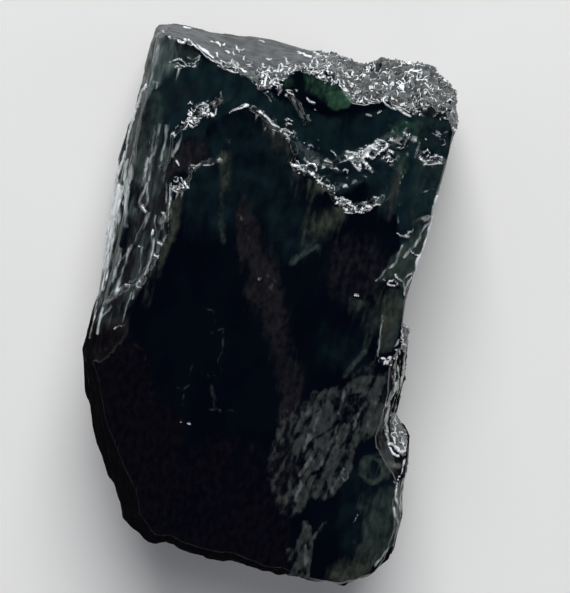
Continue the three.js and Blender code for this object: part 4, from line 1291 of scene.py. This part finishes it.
# %% [markdown]
# ## The mesh
#
# The net is finer than it needs to be on plain faces. Decimate takes vertices out where
# the surface is flat. A mark is only as sharp as the vertices that carry it, so a vertex
# group names the ones where a mark begins or ends, with one more ring around them, and
# the group is inverted: Decimate works on everything outside it.

# %% Make the mesh
TRIANGLES = 195_000
STEP_TO_KEEP = 0.10


def make_mesh(name, points, quads, values):
    """A mesh of quads in metres, smooth shaded, with one float attribute per value."""
    mesh = bpy.data.meshes.new(name)
    mesh.from_pydata((points * MM).tolist(), [], quads.tolist())
    mesh.polygons.foreach_set("use_smooth", np.ones(len(quads), bool))
    for key, value in values.items():
        attribute = mesh.attributes.new(key, "FLOAT", "POINT")
        attribute.data.foreach_set("value", value.astype(np.float32))
    mesh.update()
    return mesh


def mark_edges(quads, values):
    """The vertices of quads where a value changes by a step, and of quads touching those."""
    found = np.zeros(len(quads), bool)
    for value in values.values():
        corner_values = value[quads]
        found |= np.ptp(corner_values, axis=1) > STEP_TO_KEEP
    touched = np.zeros(int(quads.max()) + 1, bool)
    touched[quads[found]] = True
    return np.unique(quads[touched[quads].any(axis=1)])


stone = bpy.data.objects.new("stone", make_mesh("stone", points, quads, kinds))
bpy.context.collection.objects.link(stone)
drawn = {kind: kinds[kind] for kind in ("bright", "pale", "film", "haze", "chalk", "glow")}
edges = mark_edges(quads, drawn)
stone.vertex_groups.new(name="mark edges").add(edges.tolist(), 1.0, "REPLACE")
thin_out = stone.modifiers.new("thin out", "DECIMATE")
thin_out.ratio = TRIANGLES / (2 * len(quads))
thin_out.vertex_group = "mark edges"
thin_out.invert_vertex_group = True
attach(stone, "root")
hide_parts("serpentine")
print("stone:", len(stone.data.polygons), "quads,", len(edges), "vertices kept")

# %% [markdown]
# ## Short calls for nodes
#
# A material in the Shader Editor is a few boxes and links. In a script each box and link
# takes several lines, so this class gives the common ones a short name. Every call adds
# one node and hands back its output, which then goes straight into the next call.

# %% Node helpers
class Tree:
    """A node tree with short calls to add and link nodes."""

    def __init__(self, tree):
        self.nodes, self.links = tree.nodes, tree.links

    def add(self, kind, **settings):
        """A new shader node with some of its settings changed."""
        node = self.nodes.new("ShaderNode" + kind)
        for key, value in settings.items():
            setattr(node, key, value)
        return node

    def feed(self, value, socket):
        """Link an output to a socket, or set the socket to a plain value."""
        if isinstance(value, bpy.types.NodeSocket):
            self.links.new(value, socket)
        else:
            socket.default_value = value

    def math(self, operation, *values):
        """One step of arithmetic on numbers."""
        node = self.add("Math", operation=operation)
        for value, socket in zip(values, node.inputs):
            self.feed(value, socket)
        return node.outputs[0]

    def vector(self, operation, *values):
        """One step of arithmetic on places or directions."""
        node = self.add("VectorMath", operation=operation)
        for value, socket in zip(values, node.inputs):
            self.feed(value, socket)
        return node.outputs[0]

    def range(self, value, low, high, to_low=0.0, to_high=1.0):
        """A smooth step, from to_low at low to to_high at high."""
        node = self.add("MapRange", interpolation_type="SMOOTHSTEP")
        for item, socket in zip((value, low, high, to_low, to_high), node.inputs):
            self.feed(item, socket)
        return node.outputs[0]

    def scale(self, vector, factor):
        """A vector times a number."""
        node = self.add("VectorMath", operation="SCALE")
        self.feed(vector, node.inputs[0])
        self.feed(factor, node.inputs["Scale"])
        return node.outputs[0]

    def blend(self, amount, under, over):
        """under * (1 - amount) + over * amount, for numbers."""
        node = self.add("Mix", data_type="FLOAT")
        for item, number in ((amount, 0), (under, 2), (over, 3)):
            self.feed(item, node.inputs[number])
        return node.outputs[0]

    def mix(self, amount, under, over):
        """The same blend for colours."""
        node = self.add("Mix", data_type="RGBA")
        self.feed(amount, node.inputs[0])
        self.feed(under, node.inputs[6])
        self.feed(over, node.inputs[7])
        return node.outputs[2]

    def noise(self, place, detail):
        """Blender's own noise, at a scale that the place already carries."""
        node = self.add("TexNoise")
        self.feed(place, node.inputs["Vector"])
        node.inputs["Scale"].default_value = 1.0
        self.feed(detail, node.inputs["Detail"])
        return node.outputs[0]


def new_group(name, inputs, outputs):
    """An empty node group with named sockets; returns the tree and its two ends."""
    group = bpy.data.node_groups.new(name, "ShaderNodeTree")
    for socket_name, kind in inputs:
        group.interface.new_socket(socket_name, in_out="INPUT", socket_type=kind)
    for socket_name, kind in outputs:
        group.interface.new_socket(socket_name, in_out="OUTPUT", socket_type=kind)
    start = group.nodes.new("NodeGroupInput")
    end = group.nodes.new("NodeGroupOutput")
    return group, start, end


print("helpers:", [name for name in vars(Tree) if not name.startswith("_")])

# %% [markdown]
# ## Two node groups
#
# Two effects come back in several places of the material, so each is a node group, which
# can be used again like a single node. "fibres" is noise stretched along the slab, for
# streaks. "squiggles" draws thin winding lines, the way glassy broken edges catch the
# light, and the gaps beside them.

# %% Fibres and squiggles
def make_fibres():
    """Noise on the Object coordinates, scaled apart across the slab and along it."""
    group, start, end = new_group(
        "fibres",
        [("Across", "NodeSocketFloat"), ("Along", "NodeSocketFloat"), ("Detail", "NodeSocketFloat")],
        [("Streaks", "NodeSocketFloat")],
    )
    tree = Tree(group)
    place = tree.add("TexCoord").outputs["Object"]
    scale = tree.add("CombineXYZ")
    for socket, name in zip(scale.inputs, ("Across", "Along", "Across")):
        tree.links.new(start.outputs[name], socket)
    stretched = tree.vector("MULTIPLY", place, scale.outputs[0])
    tree.links.new(tree.noise(stretched, start.outputs["Detail"]), end.inputs["Streaks"])
    return group


def make_squiggles():
    """Lines where noise crosses its middle value, cut to pieces by a second noise.

    Lines = 1 within the width of the crossing. Gaps = 0 beside a line, 1 away from it.
    """
    group, start, end = new_group(
        "squiggles",
        [("Scale", "NodeSocketFloat"), ("Width", "NodeSocketFloat")],
        [("Lines", "NodeSocketFloat"), ("Gaps", "NodeSocketFloat")],
    )
    tree = Tree(group)
    width = start.outputs["Width"]
    place = tree.scale(tree.add("TexCoord").outputs["Object"], start.outputs["Scale"])
    crossing = tree.math("ABSOLUTE", tree.math("SUBTRACT", tree.noise(place, 1.0), 0.5))
    line = tree.math("SUBTRACT", 1.0, tree.range(crossing, tree.math("MULTIPLY", width, 0.4), width))
    pieces = tree.noise(tree.vector("ADD", tree.scale(place, 0.7), (17.0, 5.0, 9.0)), 0.0)
    line = tree.math("MULTIPLY", line, tree.range(pieces, 0.44, 0.52))
    far = tree.math("MULTIPLY", width, 2.4)
    tree.links.new(line, end.inputs["Lines"])
    tree.links.new(tree.range(crossing, width, far), end.inputs["Gaps"])
    return group


FIBRES, SQUIGGLES = make_fibres(), make_squiggles()
print("groups:", FIBRES.name, "and", SQUIGGLES.name)

# %% [markdown]
# ## The serpentine material
#
# Freshly broken, the stone is almost black and mirrors what is overhead. The other kinds
# of surface are laid over that one by one, each with its own colour, roughness and
# shine, and each broken up by noise so that no edge is a clean line. Several kinds are
# painted light: the glints, the pale streaks, the splinter crests and the brownish
# patches are painted highlights and reflections, the glow is painted light coming
# through, and the dark dull kind on the sides is painted shade. A separate material for
# every kind would need sharp borders between faces. One material that reads the kinds
# from the vertices can fade from one into the next.

# %% Colours and finishes
DARK = (0.0003, 0.0008, 0.0022, 1)
DARK_GREEN = (0.0006, 0.0019, 0.0032, 1)
# painted highlight white, for the glints and the crystal's squiggle lines
GLINT_WHITE = (0.64, 0.68, 0.71, 1)
KINDS = {
    # low and high colour, roughness, shine, texture, softness of the texture, how torn, edge
    # painted shade: dark and dull, with no shine
    "rind": ((0.0014, 0.0012, 0.0019, 1), (0.0064, 0.0054, 0.0068, 1), 0.9, 0.0, "fine", 0.24, 0.6, 0.0),
    "teal": ((0.0014, 0.0062, 0.0080, 1), (0.0056, 0.0155, 0.0175, 1), 0.16, 0.5, "clouds", 0.24, 0.5, 0.0),
    "dusk": ((0.0008, 0.0006, 0.001, 1), (0.0036, 0.0027, 0.0036, 1), 0.14, 0.46, "mottle", 0.22, 0.9, 0.0),
    # painted reflections: dim brownish patches
    "brown": ((0.0035, 0.0034, 0.0044, 1), (0.0125, 0.0115, 0.0135, 1), 0.2, 0.4, "mottle", 0.24, 0.8, 0.0),
    "satin": ((0.012, 0.019, 0.017, 1), (0.032, 0.046, 0.040, 1), 0.25, 0.25, "mottle", 0.30, 0.6, 0.0),
    "haze": ((0.010, 0.018, 0.017, 1), (0.064, 0.090, 0.086, 1), 0.34, 0.20, "strands", 0.20, 1.0, 0.1),
    "film": ((0.0095, 0.0115, 0.0120, 1), (0.039, 0.044, 0.043, 1), 0.50, 0.08, "mottle", 0.26, 1.3, 0.05),
    "chalk": ((0.022, 0.027, 0.027, 1), (0.095, 0.102, 0.100, 1), 0.45, 0.20, "mottle", 0.20, 1.2, 0.1),
    "olive": ((0.0120, 0.0155, 0.0120, 1), (0.039, 0.045, 0.035, 1), 0.25, 0.30, "mottle", 0.26, 0.6, 0.0),
    "glow": ((0.008, 0.028, 0.020, 1), (0.036, 0.092, 0.050, 1), 0.25, 0.50, "mottle", 0.30, 0.5, 0.0),
    "end": ((0.018, 0.022, 0.024, 1), (0.060, 0.067, 0.070, 1), 0.42, 0.30, "clouds", 0.18, 0.4, 0.2),
    # painted reflections: lighter splinter crests
    "splinter": ((0.006, 0.014, 0.013, 1), (0.095, 0.110, 0.107, 1), 0.22, 0.40, "strands", 0.14, 1.4, 0.2),
    # painted pale reflections
    "pale": ((0.055, 0.078, 0.076, 1), (0.430, 0.470, 0.465, 1), 0.25, 0.40, "strands", 0.18, 1.4, 0.15),
    # crystal: lighter broken grains, with painted highlights on the grain tops and squiggle lines
    "crystal": ((0.002, 0.006, 0.006, 1), (0.090, 0.104, 0.108, 1), 0.10, 0.70, "clouds", 0.10, 1.2, 0.2),
    # painted glints: white highlights
    "bright": ((0.330, 0.360, 0.370, 1), GLINT_WHITE, 0.12, 0.70, "clouds", 0.12, 0.8, 0.2),
}

print("kinds of surface:", list(KINDS))

# %% [markdown]
# ## Layer over layer
#
# The steps of one layer are short functions: how much of a kind shows at a place, the
# colour of the crystal grains and the bumps. The loop then lays the kinds over the bare
# stone in the order of the table, so a later kind covers an earlier one.

# %% Put the material together
# Across, along and detail for "fibres"; scale and width for "squiggles"
TEXTURES = {
    "strands": (1500.0, 330.0, 4.0),
    "clouds": (700.0, 480.0, 6.0),
    "mottle": (1700.0, 950.0, 5.0),
    "fine": (2600.0, 260.0, 3.0),
}
DARK_CLOUDS = (170.0, 110.0, 4.0)
SQUIGGLE_SIZES = (820.0, 0.05)
REFRACTION = 1.62
BARE_ROUGHNESS, BARE_SHINE = 0.12, 0.5


def kind_amount(tree, kind, texture, torn, edge):
    """The vertex number plus torn * (texture - 0.5), eased from edge to 1 - edge."""
    mask = tree.add("Attribute", attribute_name=kind).outputs["Fac"]
    wobble = tree.math("MULTIPLY", tree.math("SUBTRACT", texture, 0.5), torn)
    amount = tree.range(tree.math("ADD", mask, wobble), edge, 1 - edge)
    return tree.math("MULTIPLY", amount, tree.range(mask, 0.0, 0.2))


def crystal_colour(tree, texture, squiggles, low, high):
    """Low in the gaps, high where texture and peak are high together (partly a painted highlight on the
    grain tops), and white on the lines as painted highlights.
    """
    peak = tree.add("Attribute", attribute_name="peak").outputs["Fac"]
    height = tree.math("ADD", tree.math("MULTIPLY", texture, 0.5), tree.math("MULTIPLY", peak, 0.5))
    lit = tree.math("MULTIPLY", tree.range(height, 0.45, 0.66), squiggles.outputs["Gaps"])
    return tree.mix(squiggles.outputs["Lines"], tree.mix(lit, low, high), GLINT_WHITE)


def add_bumps(tree, lines, where, clouds):
    """Raised lines on the crystal, under a faint unevenness that is everywhere."""
    crystal_bump = tree.add("Bump")
    crystal_bump.inputs["Distance"].default_value = 0.0003
    tree.links.new(lines, crystal_bump.inputs["Height"])
    tree.links.new(where, crystal_bump.inputs["Strength"])
    bump = tree.add("Bump")
    bump.inputs["Strength"].default_value = 0.3
    bump.inputs["Distance"].default_value = 0.00008
    tree.links.new(clouds, bump.inputs["Height"])
    tree.links.new(crystal_bump.outputs[0], bump.inputs["Normal"])
    return bump.outputs[0]


def use_group(tree, group, *values):
    """A group node with its inputs set in order."""
    node = tree.add("Group", node_tree=group)
    for socket, value in zip(node.inputs, values):
        socket.default_value = value
    return node


def make_material():
    """The bare dark stone, with each kind of surface laid over it by its amount."""
    material = bpy.data.materials.new("serpentine")
    material.use_nodes = True
    tree = Tree(material.node_tree)
    shader = tree.nodes["Principled BSDF"]
    shader.inputs["IOR"].default_value = REFRACTION
    textures = {name: use_group(tree, FIBRES, *sizes).outputs[0] for name, sizes in TEXTURES.items()}
    squiggles = use_group(tree, SQUIGGLES, *SQUIGGLE_SIZES)
    clouds = use_group(tree, FIBRES, *DARK_CLOUDS).outputs[0]

    colour = tree.mix(tree.range(clouds, 0.42, 0.62), DARK, DARK_GREEN)
    roughness, shine = BARE_ROUGHNESS, BARE_SHINE
    amounts = {}
    for kind, (low, high, own_roughness, own_shine, name, softness, torn, edge) in KINDS.items():
        texture = textures[name]
        amounts[kind] = kind_amount(tree, kind, texture, torn, edge)
        own = tree.mix(tree.range(texture, 0.5 - softness, 0.5 + softness), low, high)
        if kind == "crystal":
            own = crystal_colour(tree, texture, squiggles, low, high)
        colour = tree.mix(amounts[kind], colour, own)
        roughness = tree.blend(amounts[kind], roughness, own_roughness)
        shine = tree.blend(amounts[kind], shine, own_shine)
    normal = add_bumps(tree, squiggles.outputs["Lines"], amounts["crystal"], textures["clouds"])
    tree.links.new(colour, shader.inputs["Base Color"])
    tree.links.new(roughness, shader.inputs["Roughness"])
    tree.links.new(shine, shader.inputs["Specular IOR Level"])
    tree.links.new(normal, shader.inputs["Normal"])
    return material


material = make_material()
stone.data.materials.append(material)
print("material nodes:", len(material.node_tree.nodes))

# %% [markdown]
# ## Floor and light
#
# The stone lies on a plain pale floor. Its front face mirrors what is overhead, so the
# sky is dark at the top and pale towards the horizon, and the main light is a broad
# panel low beyond the broken end: the face stays almost black while every wall that
# looks that way lights up.

# %% Floor, sky and lamps
FLOOR_HALF = 2.0
FLOOR_COLOUR = (0.79, 0.79, 0.775, 1)
HORIZON, OVERHEAD = (0.70, 0.71, 0.72, 1), (0.012, 0.016, 0.040, 1)
LAMP_DISTANCE = 1.4
LAMP_AIM = np.array([0, 0, 10]) * MM
LAMPS = {
    # direction in degrees from +X towards +Y, degrees up, width and height, brightness
    "key": (98, 32, (0.95, 0.80), 9.1),
    "above": (98, 52, (1.00, 0.80), 3),
    "left": (180, 12, (1.20, 0.30), 1.6),
    "front": (270, 14, (1.60, 0.40), 2.8),
    "right": (10, 16, (1.00, 0.40), 2.0),
}


def make_floor():
    """A wide square at height 0, matt and pale."""
    mesh = bpy.data.meshes.new("floor")
    s = FLOOR_HALF
    mesh.from_pydata([(-s, -s, 0), (s, -s, 0), (s, s, 0), (-s, s, 0)], [], [(0, 1, 2, 3)])
    floor = bpy.data.objects.new("floor", mesh)
    bpy.context.collection.objects.link(floor)
    material = bpy.data.materials.new("floor")
    material.use_nodes = True
    shader = material.node_tree.nodes["Principled BSDF"]
    shader.inputs["Base Color"].default_value = FLOOR_COLOUR
    shader.inputs["Roughness"].default_value = 0.7
    shader.inputs["Specular IOR Level"].default_value = 0.2
    mesh.materials.append(material)
    return floor


def make_sky():
    """A world that is dark overhead and pale at the horizon, by the height of the ray."""
    world = bpy.data.worlds.new("sky")
    world.use_nodes = True
    tree = Tree(world.node_tree)
    split = tree.add("SeparateXYZ")
    ramp = tree.add("ValToRGB")
    tree.links.new(tree.add("TexCoord").outputs["Generated"], split.inputs[0])
    tree.links.new(split.outputs["Z"], ramp.inputs["Fac"])
    ramp.color_ramp.elements[0].position = 0.12
    ramp.color_ramp.elements[0].color = HORIZON
    ramp.color_ramp.elements[1].position = 0.45
    ramp.color_ramp.elements[1].color = OVERHEAD
    background = tree.nodes["Background"]
    tree.links.new(ramp.outputs["Color"], background.inputs["Color"])
    bpy.context.scene.world = world


def make_lamp(name, azimuth, elevation, size, brightness):
    """A panel that faces the stone; its power is brightness * pi * its area."""
    a, e = math.radians(azimuth), math.radians(elevation)
    back = np.array([math.cos(e) * math.cos(a), math.cos(e) * math.sin(a), math.sin(e)])
    side = np.array([-math.sin(a), math.cos(a), 0])
    data = bpy.data.lights.new(name, "AREA")
    data.shape = "RECTANGLE"
    data.size, data.size_y = size
    data.energy = brightness * math.pi * size[0] * size[1]
    lamp = bpy.data.objects.new(name, data)
    turn = np.eye(4)
    turn[:3, 0], turn[:3, 1], turn[:3, 2] = side, np.cross(back, side), back
    turn[:3, 3] = back * LAMP_DISTANCE + LAMP_AIM
    lamp.matrix_world = Matrix(turn.tolist())
    bpy.context.collection.objects.link(lamp)
    return lamp


make_floor()
make_sky()
for name, settings in LAMPS.items():
    make_lamp(name, *settings)
print("lamps:", list(LAMPS))

# %% [markdown]
